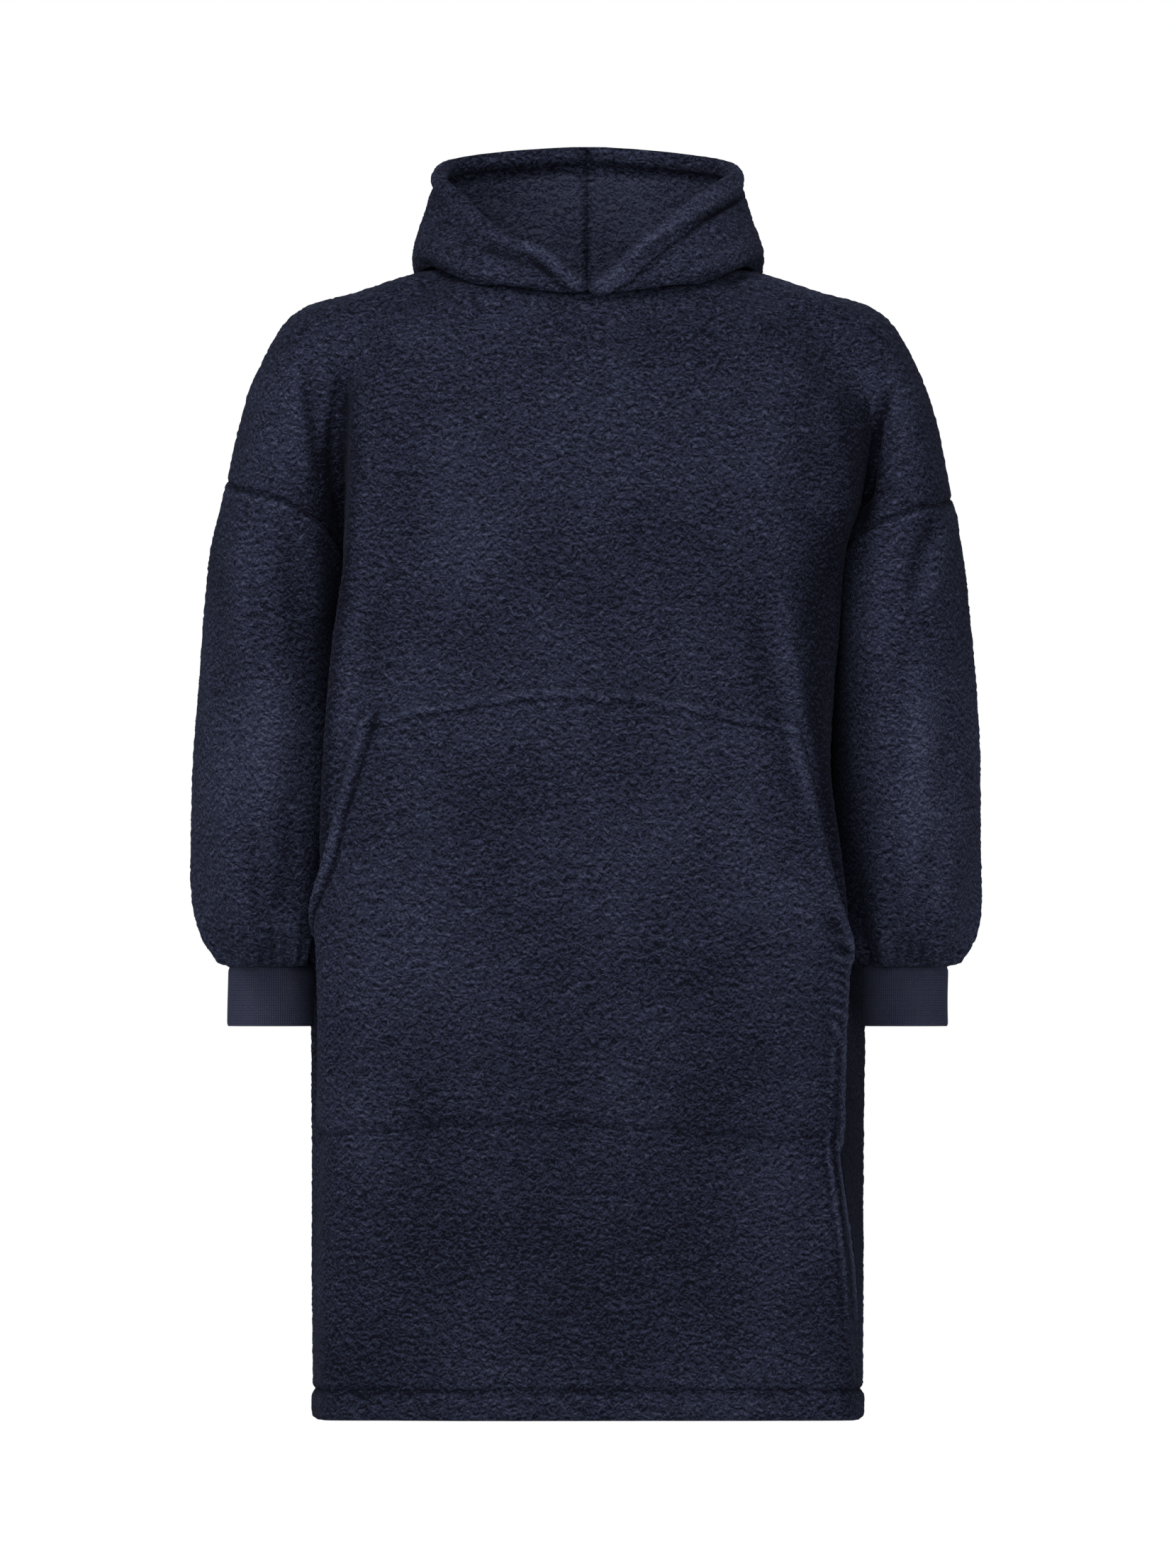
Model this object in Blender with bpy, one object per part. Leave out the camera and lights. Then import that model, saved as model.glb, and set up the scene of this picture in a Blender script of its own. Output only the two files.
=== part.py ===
"""Wearable blanket hoodie in teddy fleece, in the hollow form that it has when worn.

Lengths in the tables are in millimetres. "out" runs from the middle plane to a side, "fwd" to the front
(-Y), z up. The origin is the middle of the neck base, level with the inner ends of the shoulder seams.
Left and right are as seen from the front: left is -X.
"""

from collections import namedtuple

import bmesh
import bpy
import numpy as np

MM = 0.001
FLEECE_WALL = 4.0
HEM_WALL = 6.5
HEM_DEEP = 25.0
HEM_STEP = 6.0
RIB_WALL = 2.0
SEAM_GAP = 0.3
UNDERARM_LIFT = 11.0

FLAT_COLUMNS = 4
SIDE_COLUMNS = 6
BODY_COLUMNS = FLAT_COLUMNS + SIDE_COLUMNS
ARM_COLUMNS = 12
YOKE_ROWS = 8
TRUNK_ROWS = 14
SLEEVE_ROWS = 5
FOLD_ROWS = 8
HOOD_ROWS = 10
POCKET_ROWS = 18

# Rings over the shoulders, from the neckline down to the row above the underarm. seam is on the shoulder
# seam, arm on the front of the arm, valley between arm and chest, corner at the side of the chest.
Yoke = namedtuple(
    "Yoke",
    "seam_out seam_z arm_out arm_fwd arm_z valley_out valley_fwd valley_z"
    " corner_out corner_fwd corner_z centre_fwd centre_z",
)
YOKE_LEFT = (
    Yoke(113, 4, 105, 24, 2, 90, 45, -2, 58, 67, -7, 82, -11),
    Yoke(146, -1, 135, 36, -6, 117, 62, -15, 78, 89, -28, 102, -42),
    Yoke(190, -15.5, 176, 52, -23, 153, 77, -37, 105, 109, -62, 121, -86),
    Yoke(236.5, -29.5, 213, 66, -46, 184, 86, -66, 132, 122, -102, 134, -130),
    Yoke(262, -57, 236, 80, -83, 202, 80, -107, 158, 128, -145, 142, -172),
    Yoke(285, -112, 247, 89, -134, 206, 62, -165, 177, 130, -196, 146, -212),
)
YOKE_RIGHT = (
    Yoke(113, 4, 105, 24, 2, 90, 45, -2, 58, 67, -7, 82, -11),
    Yoke(146, -1, 135, 36, -6, 117, 62, -15, 78, 89, -28, 102, -42),
    Yoke(190, -15.5, 177, 52, -23, 156, 77, -37, 104, 109, -62, 121, -86),
    Yoke(236.5, -29.5, 217, 62, -46, 190, 84, -67, 130, 122, -102, 134, -130),
    Yoke(262, -57, 249, 66, -83, 226, 70, -108, 149, 130, -145, 142, -172),
    Yoke(286.5, -114, 264, 78, -138, 234, 54, -173, 159, 131, -198, 146, -212),
)
YOKE_BACK_SHARE = 0.9
ARMHOLE_BACK_SHARE = 0.96
BACK_NECK_RISE = (6, 4, 1, 0, 0, 0)

# Places between two named points of a ring, as shares in out, fwd and z.
TO_SEAM = (0.72, 0.3, 0.55)
TO_VALLEY = (0.64, 0.3, 0.4)
TO_CORNER = (0.3, 0.6, 0.45)
TO_CENTRE = (0.48, 0.78, 0.75)
LEVEL_TO_CENTRE = (0.48, 0.78, 0)

# The armhole seam runs round the upper arm, low under a dropped shoulder.
Armhole = namedtuple("Armhole", "seam_out seam_z arm_out arm_fwd arm_z")
ARMHOLES = (Armhole(300, -173, 256, 92, -186), Armhole(302, -188, 265, 88, -196))

# Level sections of the body below the arms. flank is where the sleeve lies against it.
Trunk = namedtuple(
    "Trunk", "z seam_out seam_fwd flank_out flank_fwd corner_out corner_fwd centre_fwd"
)
TRUNK_LEFT = (
    Trunk(-250, 196, 0, 203, 86, 191, 128, 148),
    Trunk(-300, 191, 0, 210, 90, 195, 131, 150),
    Trunk(-350, 190, 0, 215, 93, 198, 133, 152),
    Trunk(-410, 190, 0, 219, 96, 201, 134, 154),
    Trunk(-470, 191, 0, 221, 97, 203, 135, 155),
    Trunk(-530, 193, 0, 220, 95, 203, 135, 155),
    Trunk(-585, 199, 0, 218, 88, 203, 132, 154),
    Trunk(-640, 208, 0, 218, 74, 203, 129, 152),
    Trunk(-720, 219, 0, 220, 62, 205, 126, 149),
    Trunk(-830, 226, 0, 225, 56, 208, 122, 145),
    Trunk(-951, 227, 0, 224, 54, 207, 117, 140),
)
TRUNK_RIGHT = (
    Trunk(-250, 200, 0, 189, 62, 160, 122, 148),
    Trunk(-300, 197, 0, 187, 62, 162, 132, 150),
    Trunk(-350, 193, 0, 189, 68, 173, 136, 152),
    Trunk(-410, 191, 0, 197, 80, 188, 137, 154),
    Trunk(-470, 191, 4, 204, 90, 199, 135, 155),
    Trunk(-530, 196, 20, 209, 95, 206, 131, 155),
    Trunk(-585, 204, 44, 211, 95, 205, 128, 154),
    Trunk(-640, 214, 58, 213, 94, 203, 126, 152),
    Trunk(-720, 222, 46, 217, 84, 203, 123, 149),
    Trunk(-830, 227, 16, 224, 66, 207, 120, 145),
    Trunk(-951, 227, 0, 225, 54, 208, 117, 140),
)
BackTrunk = namedtuple("BackTrunk", "flank_out flank_back corner_out corner_back centre_back")
TRUNK_BACK = (
    BackTrunk(199, 76, 184, 115, 133),
    BackTrunk(208, 84, 188, 117, 134),
    BackTrunk(214, 86, 191, 118, 134),
    BackTrunk(217, 89, 194, 119, 134),
    BackTrunk(220, 90, 197, 119, 133),
    BackTrunk(224, 89, 200, 118, 132),
    BackTrunk(227, 82, 203, 117, 131),
    BackTrunk(228, 68, 205, 115, 130),
    BackTrunk(229, 56, 206, 113, 129),
    BackTrunk(228, 50, 206, 110, 127),
    BackTrunk(226, 48, 205, 106, 124),
)

# Rings of a sleeve below the armhole seam. The last few fold under into the cuff.
SleeveRing = namedtuple("SleeveRing", "outer outer_z inner inner_z fwd back")
SLEEVE_RINGS = (
    SleeveRing(312, -236, 204, -292, 94, 90),
    SleeveRing(320, -300, 203, -342, 95, 91),
    SleeveRing(325.5, -368, 203, -396, 95, 91),
    SleeveRing(328, -436, 204, -452, 94, 90),
    SleeveRing(327, -495, 207, -502, 90, 86),
    SleeveRing(320, -540, 213, -540, 79, 76),
    SleeveRing(308, -563, 221, -562, 61, 60),
    SleeveRing(300, -573.5, 227, -573.5, 42, 42),
    SleeveRing(299.4, -576.5, 229, -576.5, 35.5, 35.5),
)
FOLD_RING = 5
GATHERS = 6
GATHER_DEEP = 4.5
GATHER_TOP = -455
GATHER_GROWS = 85
GATHER_ENDS = 9
GATHER_TURN = 0.6

CUFF_OUTER = 299.0
CUFF_INNER = 229.4
CUFF_HALF_DEPTH = 35.1
CUFF_TOP = -576.8
CUFF_BOTTOM = -625
CUFF_RIBS = 80
RIB_RISE = 0.7

# Sections of a hood half from the middle of the front to the middle of the back, each at a station of the
# neckline. lie is how far down the panel the folded layer lies on it, low the bottom of the roll or of the
# pouch, wide its outer side, and hem the opening edge, which differs a little from left to right.
HoodSection = namedtuple(
    "HoodSection",
    "station lie low_out low_fwd low_z wide_out wide_fwd wide_z left_out left_fwd left_z"
    " right_out right_fwd right_z",
)
HOOD = (
    HoodSection(0, 0.1, 0, 96, -16, 0, 101, -10, 0, 98, -1, 0, 98, -1),
    HoodSection(2, 0.2, 62, 88, -11, 67, 90, 1, 34, 82, 19, 42, 80, 32),
    HoodSection(4, 0.3, 107, 62, -3, 113, 61, 12, 67, 57, 32, 74, 54, 53),
    HoodSection(8, 0.55, 134, 8, 6, 140, 8, 22, 103, 8, 64, 104, 8, 74),
    HoodSection(12, 0.75, 139, -66, -16, 140, -70, 22, 125, -40, 87, 124, -40, 88),
    HoodSection(14, 1.3, 96, -135, -112, 102, -147, -2, 97, -90, 100, 97, -90, 99),
    HoodSection(16, 1.8, 0, -146, -152, 0, -163, -22, 0, -110, 107, 0, -110, 107),
)
HOOD_CLEARANCE = 4.6
HOOD_HALFWAY = 0.6
HOOD_LEAST_LIE = 0.08
HOOD_ARM_STEP = 3

# The pocket's mouths: level, and how far out from the middle to the side seam as a share.
MOUTH_LEFT = (
    (-340, 0.45), (-368, 0.46), (-398, 0.5), (-438, 0.55), (-505, 0.65), (-540, 0.77), (-592, 0.975),
    (-730, 0.975),
)
MOUTH_RIGHT = (
    (-340, 0.48), (-375, 0.49), (-402, 0.5), (-483, 0.53), (-530, 0.62), (-560, 0.75), (-605, 0.975),
    (-730, 0.975),
)
POCKET_TOP = ((-1, -370), (-0.62, -354), (-0.2, -343), (0.2, -346.5), (0.62, -359), (1, -375))
POCKET_BOTTOM = ((-1, -719), (-0.5, -713), (0, -708), (0.5, -715), (1, -725))
POCKET_SEAM_GAP = 1.7
POCKET_ROOM = 13.0
POCKET_END_SHARE = 0.22
MOUTH_SMOOTHING = (-18, -9, 0, 9, 18)
CAUGHT_TOP = -530
CAUGHT_GROWS = 60

FLEECE = (0.019, 0.022, 0.041)
RIB = (0.023, 0.026, 0.047)


def weights(share):
    """Weights of four points in a row for a place between the middle two."""
    return np.stack(
        [
            (-share + 2 * share**2 - share**3) / 2,
            (2 - 5 * share**2 + 3 * share**3) / 2,
            (share + 4 * share**2 - 3 * share**3) / 2,
            (share**3 - share**2) / 2,
        ]
    )


def on_net(net, row, column):
    """Points of the smooth surface through a net that has a spare row and column on every side."""
    row, column = np.broadcast_arrays(np.asarray(row, float), np.asarray(column, float))
    i = np.clip(row.astype(int), 0, net.shape[0] - 4)
    j = np.clip(column.astype(int), 0, net.shape[1] - 4)
    down, along = weights(row - i), weights(column - j)
    return sum(
        (down[m] * along[n])[..., None] * net[i + m, j + n] for m in range(4) for n in range(4)
    )


def with_ends(net):
    """The net with a row added before its first and after its last, in line with them."""
    return np.concatenate([[2 * net[0] - net[1]], net, [2 * net[-1] - net[-2]]])


def mix(a, b, shares):
    """A point between two, by a share for each direction."""
    return a + (b - a) * np.array(shares)


def at(side, out, fwd, z):
    return np.array([side * out, -fwd, z], float)


def yoke_ring(row, side, face, rise=0.0):
    """Nine stations of a shoulder ring: seam, two on the arm, two more, valley, flank, corner, centre."""
    deep = 1.0 if face < 0 else -YOKE_BACK_SHARE
    seam = at(side, row.seam_out, 0, row.seam_z)
    arm = at(side, row.arm_out, deep * row.arm_fwd, row.arm_z + rise * 0.3)
    valley = at(side, row.valley_out, deep * row.valley_fwd, row.valley_z + rise * 0.6)
    corner = at(side, row.corner_out, deep * row.corner_fwd, row.corner_z + rise)
    centre = at(side, 0, deep * row.centre_fwd, row.centre_z + rise)
    return arm_stations(seam, arm, valley) + [
        mix(valley, corner, TO_CORNER),
        corner,
        mix(corner, centre, TO_CENTRE),
        centre,
    ]


def arm_stations(seam, arm, valley):
    return [seam, mix(arm, seam, TO_SEAM), arm, mix(arm, valley, TO_VALLEY), valley]


def trunk_stations(level, side, face):
    """Five stations of a level section: side seam, flank, corner, a point on the way, centre."""
    front = (TRUNK_LEFT if side < 0 else TRUNK_RIGHT)[level]
    seam = at(side, front.seam_out, front.seam_fwd, front.z)
    if face < 0:
        flank = at(side, front.flank_out, front.flank_fwd, front.z)
        corner = at(side, front.corner_out, front.corner_fwd, front.z)
        centre = at(side, 0, front.centre_fwd, front.z)
    else:
        back = TRUNK_BACK[level]
        flank = at(side, back.flank_out, -back.flank_back, front.z)
        corner = at(side, back.corner_out, -back.corner_back, front.z)
        centre = at(side, 0, -back.centre_back, front.z)
    return [seam, flank, corner, mix(corner, centre, LEVEL_TO_CENTRE), centre]


def yoke_rows(side, face):
    """Shoulder rings of one side. The back takes its shape from the plain left side."""
    own = YOKE_LEFT if side < 0 else YOKE_RIGHT
    rows = []
    for k, row in enumerate(own):
        if face > 0:
            row = YOKE_LEFT[k]._replace(seam_out=row.seam_out, seam_z=row.seam_z)
        rows.append(yoke_ring(row, side, face, BACK_NECK_RISE[k] if face > 0 else 0))
    return rows


def underarm(side):
    return trunk_stations(0, side, -1)[0]


def armhole_stations(side, face):
    hole = ARMHOLES[0 if side < 0 else 1]
    deep = 1.0 if face < 0 else -ARMHOLE_BACK_SHARE
    seam = at(side, hole.seam_out, 0, hole.seam_z)
    arm = at(side, hole.arm_out, deep * hole.arm_fwd, hole.arm_z)
    return arm_stations(seam, arm, underarm(side))


def sleeve_stations(ring, side):
    """Eight stations round a sleeve: outer, front outer, front, front inner, inner, and back again."""
    middle, half = (ring.outer + ring.inner) / 2, (ring.outer - ring.inner) / 2
    stations = []
    for turn in np.arange(8) * np.pi / 4:
        across = np.cos(turn)
        deep = ring.fwd if turn <= np.pi else ring.back
        z = (ring.outer_z + ring.inner_z) / 2 + (ring.outer_z - ring.inner_z) / 2 * across
        stations.append(at(side, middle + half * across, deep * np.sin(turn), z))
    return stations


def body_net(face):
    """Net of a whole panel between the valleys, and below them between the side seams."""
    rows = []
    left, right = yoke_rows(-1, face), yoke_rows(1, face)
    for a, b in zip(left, right):
        rows.append([a[3]] + a[4:] + b[4:-1][::-1] + [b[3]])
    for level in range(len(TRUNK_LEFT)):
        a, b = trunk_stations(level, -1, face), trunk_stations(level, 1, face)
        beyond = [trunk_stations(level, side, -face)[1] for side in (-1, 1)]
        rows.append([beyond[0]] + a + b[:-1][::-1] + [beyond[1]])
    return with_ends(np.array(rows))


def arm_net(side, face):
    """Net of the dropped shoulder, from the shoulder seam to the valley and down to the armhole."""
    near, far = yoke_rows(side, face), yoke_rows(side, -face)
    rows = [[b[1]] + a[:6] for a, b in zip(near, far)]
    hole, other = armhole_stations(side, face), armhole_stations(side, -face)
    rows.append([other[1]] + hole + [other[3]])
    ring = sleeve_stations(SLEEVE_RINGS[0], side)
    order = (7, 0, 1, 2, 3, 4, 5) if face < 0 else (1, 0, 7, 6, 5, 4, 3)
    rows.append([ring[i] for i in order])
    net = np.array(rows)
    return np.concatenate([[2 * net[0] - net[1]], net])


def sleeve_net(side):
    """Net round a sleeve. Its spare first row is the last shoulder ring, so that the seam runs smoothly."""
    front, back = yoke_rows(side, -1)[-1], yoke_rows(side, 1)[-1]
    above = front[:4] + [(front[4] + back[4]) / 2] + back[3:0:-1]
    hole, other = armhole_stations(side, -1), armhole_stations(side, 1)
    rows = [above, hole + other[3:0:-1]]
    rows += [sleeve_stations(ring, side) for ring in SLEEVE_RINGS]
    net = np.array(rows)
    net = np.concatenate([net, [2 * net[-1] - net[-2]]])
    return np.concatenate([net[:, -1:], net, net[:, :2]], axis=1)


UNDERARM_ROW = len(YOKE_LEFT)
LAST_ROW = UNDERARM_ROW + len(TRUNK_LEFT) - 1
BODY_NETS = {face: body_net(face) for face in (-1, 1)}
ARM_NETS = {(side, face): arm_net(side, face) for side in (-1, 1) for face in (-1, 1)}
SLEEVE_NETS = {side: sleeve_net(side) for side in (-1, 1)}


def unit(vectors):
    return vectors / np.maximum(np.linalg.norm(vectors, axis=-1, keepdims=True), 1e-9)


def surface(net, row, column, turn):
    """Points and outward normals of a net. turn is +1 or -1, whichever makes the normals face out."""
    row, column = np.broadcast_arrays(np.asarray(row, float), np.asarray(column, float))
    step = 0.01
    last_row, last_column = net.shape[0] - 3, net.shape[1] - 3
    r0, r1 = np.clip(row - step, 0, last_row), np.clip(row + step, 0, last_row)
    c0, c1 = np.clip(column - step, 0, last_column), np.clip(column + step, 0, last_column)
    down = on_net(net, r1, column) - on_net(net, r0, column)
    along = on_net(net, row, c1) - on_net(net, row, c0)
    return on_net(net, row, column), unit(turn * np.cross(along, down))


def row_at(z):
    """Row of the body net whose level is z, below the underarm."""
    rows = np.linspace(UNDERARM_ROW, LAST_ROW, 400)
    levels = on_net(BODY_NETS[-1], rows, 4.0)[:, 2]
    return np.interp(-np.asarray(z, float), -levels, rows)


def body_point(face, row, across):
    """Panel surface at a row and a share across, -1 at the left side seam and 1 at the right."""
    return surface(BODY_NETS[face], row, 4 + 4 * np.asarray(across, float), face)


def arm_point(side, face, row, share):
    """Dropped shoulder at a row, share 0 at the shoulder seam and 1 at the valley."""
    return surface(ARM_NETS[side, face], row, 4 * np.asarray(share, float), -side * face)


def panel_rows():
    yoke = np.linspace(0, UNDERARM_ROW, YOKE_ROWS + 1)
    top, hem = TRUNK_LEFT[0].z, TRUNK_LEFT[-1].z
    levels = np.append(np.linspace(top, hem + HEM_DEEP, TRUNK_ROWS)[1:], (hem + HEM_DEEP * 0.8, hem))
    return yoke, row_at(levels)


def body_shares():
    """Columns of a panel across the body, closer together at its corners."""
    half = np.concatenate(
        [np.linspace(0, 0.5, FLAT_COLUMNS + 1), np.linspace(0.5, 1, SIDE_COLUMNS + 1)[1:]]
    )
    return np.concatenate([-half[:0:-1], half])


def panel_grid(face):
    """Whole front or back panel as one grid, which lacks its outer columns below the armholes."""
    yoke, trunk = panel_rows()
    rows = np.concatenate([yoke, trunk])
    middle, normal = body_point(face, rows[:, None], body_shares()[None, :])
    shares = np.linspace(0, 1, ARM_COLUMNS + 1)[:-1]
    blank = np.zeros((len(rows), len(shares), 3))
    blocks = []
    for side, order in ((-1, slice(None)), (1, slice(None, None, -1))):
        points, normals = blank.copy(), blank.copy()
        points[: len(yoke)], normals[: len(yoke)] = arm_point(
            side, face, yoke[:, None], shares[None, :]
        )
        blocks.append((points[:, order], normals[:, order]))
    points = np.concatenate([blocks[0][0], middle, blocks[1][0]], axis=1)
    normals = np.concatenate([blocks[0][1], normal, blocks[1][1]], axis=1)
    for column in (ARM_COLUMNS, ARM_COLUMNS + 2 * BODY_COLUMNS):
        normals[len(yoke) - 1, column] = (0, 0, -UNDERARM_LIFT / FLEECE_WALL)
        for row in range(1, len(yoke) - 1):
            beside = normals[row, column - 1] + normals[row, column + 1] + normals[row, column]
            normals[row, column] = unit(beside)
    present = np.ones((len(rows) - 1, points.shape[1] - 1), bool)
    present[len(yoke) - 1 :, :ARM_COLUMNS] = False
    present[len(yoke) - 1 :, -ARM_COLUMNS:] = False
    return points, normals, present


def quads_of(shape, present=None):
    """Corner numbers of a grid's faces."""
    rows, columns = shape
    number = np.arange(rows * columns).reshape(rows, columns)
    quads = np.stack([number[:-1, :-1], number[:-1, 1:], number[1:, 1:], number[1:, :-1]], axis=-1)
    return quads[present] if present is not None else quads.reshape(-1, 4)


def ring_quads(rows, columns):
    """Corner numbers of a grid whose last column joins its first."""
    number = np.arange(rows * columns).reshape(rows, columns)
    after = np.roll(number, -1, axis=1)
    return np.stack([number[:-1], after[:-1], after[1:], number[1:]], axis=-1).reshape(-1, 4)


def rim_edges(quads):
    """Edges that only one face has, in that face's direction."""
    edges = np.concatenate([quads[:, [k, (k + 1) % 4]] for k in range(4)])
    keys = np.sort(edges, axis=1)
    _, index, count = np.unique(keys, axis=0, return_inverse=True, return_counts=True)
    return edges[count[index.reshape(-1)] == 1]


def pull_in(points, quads, gap):
    """Shift for each point on the rim, by the gap, towards the middle of its own faces."""
    shift = np.zeros_like(points)
    rim = rim_edges(quads)
    centres = points[quads].mean(axis=1)
    owner = {}
    for face, corners in enumerate(quads):
        for k in range(4):
            owner[(corners[k], corners[(k + 1) % 4])] = face
    inward = {}
    for a, b in rim:
        along = unit(points[b] - points[a])
        to_face = centres[owner[(a, b)]] - points[a]
        across = unit(to_face - along * (to_face @ along))
        inward.setdefault(a, []).append(across)
        inward.setdefault(b, []).append(across)
    for corner, ways in inward.items():
        for n, way in enumerate(ways):
            if n == 0 or abs(way @ ways[0]) < 0.7:
                shift[corner] += gap * way
    return shift


def cloth_piece(name, colour, points, normals, quads, wall, gap=SEAM_GAP / 2):
    """One panel of cloth as a closed wall: the given outer face, an inner one behind it, and the rims."""
    points = points.reshape(-1, 3)
    normals = normals.reshape(-1, 3)
    wall = np.broadcast_to(np.asarray(wall, float).reshape(-1), (len(points),))
    outer = points + pull_in(points, quads, gap)
    inner = outer - normals * wall[:, None]
    used = np.unique(quads)
    renumber = np.full(len(points), -1)
    renumber[used] = np.arange(len(used))
    quads = renumber[quads]
    count = len(used)
    faces = [tuple(q) for q in quads] + [tuple(q[::-1] + count) for q in quads]
    faces += [(b, a, a + count, b + count) for a, b in rim_edges(quads)]
    return add_mesh(name, colour, np.concatenate([outer[used], inner[used]]), faces)


def add_mesh(name, colour, points, faces):
    mesh = bpy.data.meshes.new(name)
    mesh.from_pydata([tuple(p) for p in points * MM], [], [tuple(int(i) for i in f) for f in faces])
    build = bmesh.new()
    build.from_mesh(mesh)
    bmesh.ops.recalc_face_normals(build, faces=build.faces)
    bmesh.ops.triangulate(build, faces=build.faces)
    build.to_mesh(mesh)
    build.free()
    mesh.shade_smooth()
    mesh.materials.append(material(colour))
    piece = bpy.data.objects.new(name, mesh)
    bpy.data.collections["blanket_hoodie"].objects.link(piece)
    return piece


def material(colour):
    """Principled finish of a cloth, made once for each of the two cloths."""
    name = "teddy_fleece" if colour == FLEECE else "rib_knit"
    found = bpy.data.materials.get(name)
    if found:
        return found
    found = bpy.data.materials.new(name)
    found.use_nodes = True
    shader = found.node_tree.nodes["Principled BSDF"]
    shader.inputs["Base Color"].default_value = (*colour, 1)
    shader.inputs["Roughness"].default_value = 0.95
    shader.inputs["Metallic"].default_value = 0
    return found


def ease(share):
    share = np.clip(share, 0, 1)
    return share * share * (3 - 2 * share)


def make_panel(name, face):
    points, normals, present = panel_grid(face)
    hem = TRUNK_LEFT[-1].z
    turned = ease((hem + HEM_DEEP + HEM_STEP / 3 - points[..., 2]) / HEM_STEP)
    wall = FLEECE_WALL + (HEM_WALL - FLEECE_WALL) * turned
    cloth_piece(name, FLEECE, points, normals, quads_of(points.shape[:2], present), wall)


def gathered(points, normals, turns, side):
    """Sleeve points with the folds that the cuff draws in, deepest just above it."""
    z = points[..., 2]
    grow = ease((GATHER_TOP - z) / GATHER_GROWS) * ease((z - SLEEVE_RINGS[-1].outer_z) / GATHER_ENDS)
    wave = np.cos(GATHERS * turns + side * GATHER_TURN) * (1 + 0.3 * np.cos(turns * 2 + 1))
    return points + normals * (GATHER_DEEP * grow * wave)[..., None]


def sleeve_rows():
    """Rows along the sleeve, close together where it folds under into the cuff."""
    upper = np.linspace(0, FOLD_RING, SLEEVE_ROWS + 1)
    return np.concatenate([upper, np.linspace(FOLD_RING, len(SLEEVE_RINGS), FOLD_ROWS + 1)[1:]])


def make_sleeve(name, side):
    shares = np.linspace(0, 4, ARM_COLUMNS + 1)
    columns = np.concatenate([shares, (4 + shares)[1:-1]])
    rows = sleeve_rows()
    points, normals = surface(SLEEVE_NETS[side], rows[:, None], columns[None, :], side)
    points = gathered(points, normals, np.broadcast_to(columns * np.pi / 4, points.shape[:2]), side)
    quads = ring_quads(len(rows), len(columns))
    cloth_piece(name, FLEECE, points, normals, quads, FLEECE_WALL, gap=SEAM_GAP)


def make_cuff(name, side):
    """Straight rib cuff: the ribs rise on the outside, and the inside is plain."""
    count = 2 * CUFF_RIBS
    turns = np.arange(count) * 2 * np.pi / count
    rise = np.where(np.arange(count) % 2, 0.0, -RIB_RISE)
    middle, half = (CUFF_OUTER + CUFF_INNER) / 2, (CUFF_OUTER - CUFF_INNER) / 2
    rings = []
    for inset, levels in ((rise, (CUFF_TOP, CUFF_BOTTOM)), (-RIB_WALL, (CUFF_BOTTOM, CUFF_TOP))):
        for z in levels:
            out = middle + (half + inset) * np.cos(turns)
            fwd = (CUFF_HALF_DEPTH + inset) * np.sin(turns)
            rings.append(np.stack([side * out, -fwd, np.full(count, z)], axis=-1))
    number = np.arange(4 * count).reshape(4, count)
    after = np.roll(number, -1, axis=1)
    faces = [
        (number[a, k], after[a, k], after[(a + 1) % 4, k], number[(a + 1) % 4, k])
        for a in range(4)
        for k in range(count)
    ]
    add_mesh(name, RIB, np.concatenate(rings), faces)


def neck_point(side, station, row):
    """Panel point and normal at a station of the neckline, 0 at the front middle and 16 at the back."""
    if station <= 4:
        return body_point(-1, row, side * station / 4)
    if station <= 8:
        return arm_point(side, -1, row, (8 - station) / 4)
    if station <= 12:
        return arm_point(side, 1, row, (station - 8) / 4)
    return body_point(1, row, side * (16 - station) / 4)


def neck_stations():
    """Stations of the hood's columns: those of the panels, fewer of them over the arms."""
    body = 4 * body_shares()[BODY_COLUMNS:]
    arm = np.linspace(0, 4, ARM_COLUMNS // HOOD_ARM_STEP + 1)
    return np.concatenate([body, 4 + arm[1:], 8 + arm[1:], 16 - body[::-1][1:]])


def hood_line(side, station):
    """Six points up a hood section: seam, two on the folded layer, low point, wide point and hem."""
    place = np.interp(station, [s.station for s in HOOD], np.arange(len(HOOD)))
    net = []
    for s in HOOD:
        hem = (s.left_out, s.left_fwd, s.left_z) if side < 0 else (s.right_out, s.right_fwd, s.right_z)
        net.append(
            [
                [s.lie, 0, 0],
                at(side, s.low_out, s.low_fwd, s.low_z),
                at(side, s.wide_out, s.wide_fwd, s.wide_z),
                at(side, *hem),
            ]
        )
    net = np.array(net)
    mirrored = np.array([-1, 1, 1])
    net = np.concatenate([[net[1] * mirrored], net, [net[-2] * mirrored]])
    net[[0, -1], 0] *= mirrored
    i = min(int(place), len(HOOD) - 2)
    drop, low, wide, hem = np.tensordot(weights(np.float64(place - i)), net[i : i + 4], axes=1)
    line = []
    for share, clear in ((0, SEAM_GAP), (0.5, HOOD_HALFWAY * HOOD_CLEARANCE), (1, HOOD_CLEARANCE)):
        lying, outward = neck_point(side, station, share * max(drop[0], HOOD_LEAST_LIE))
        line.append(lying + outward * clear)
    return np.array(line + [low, wide, hem])


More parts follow.
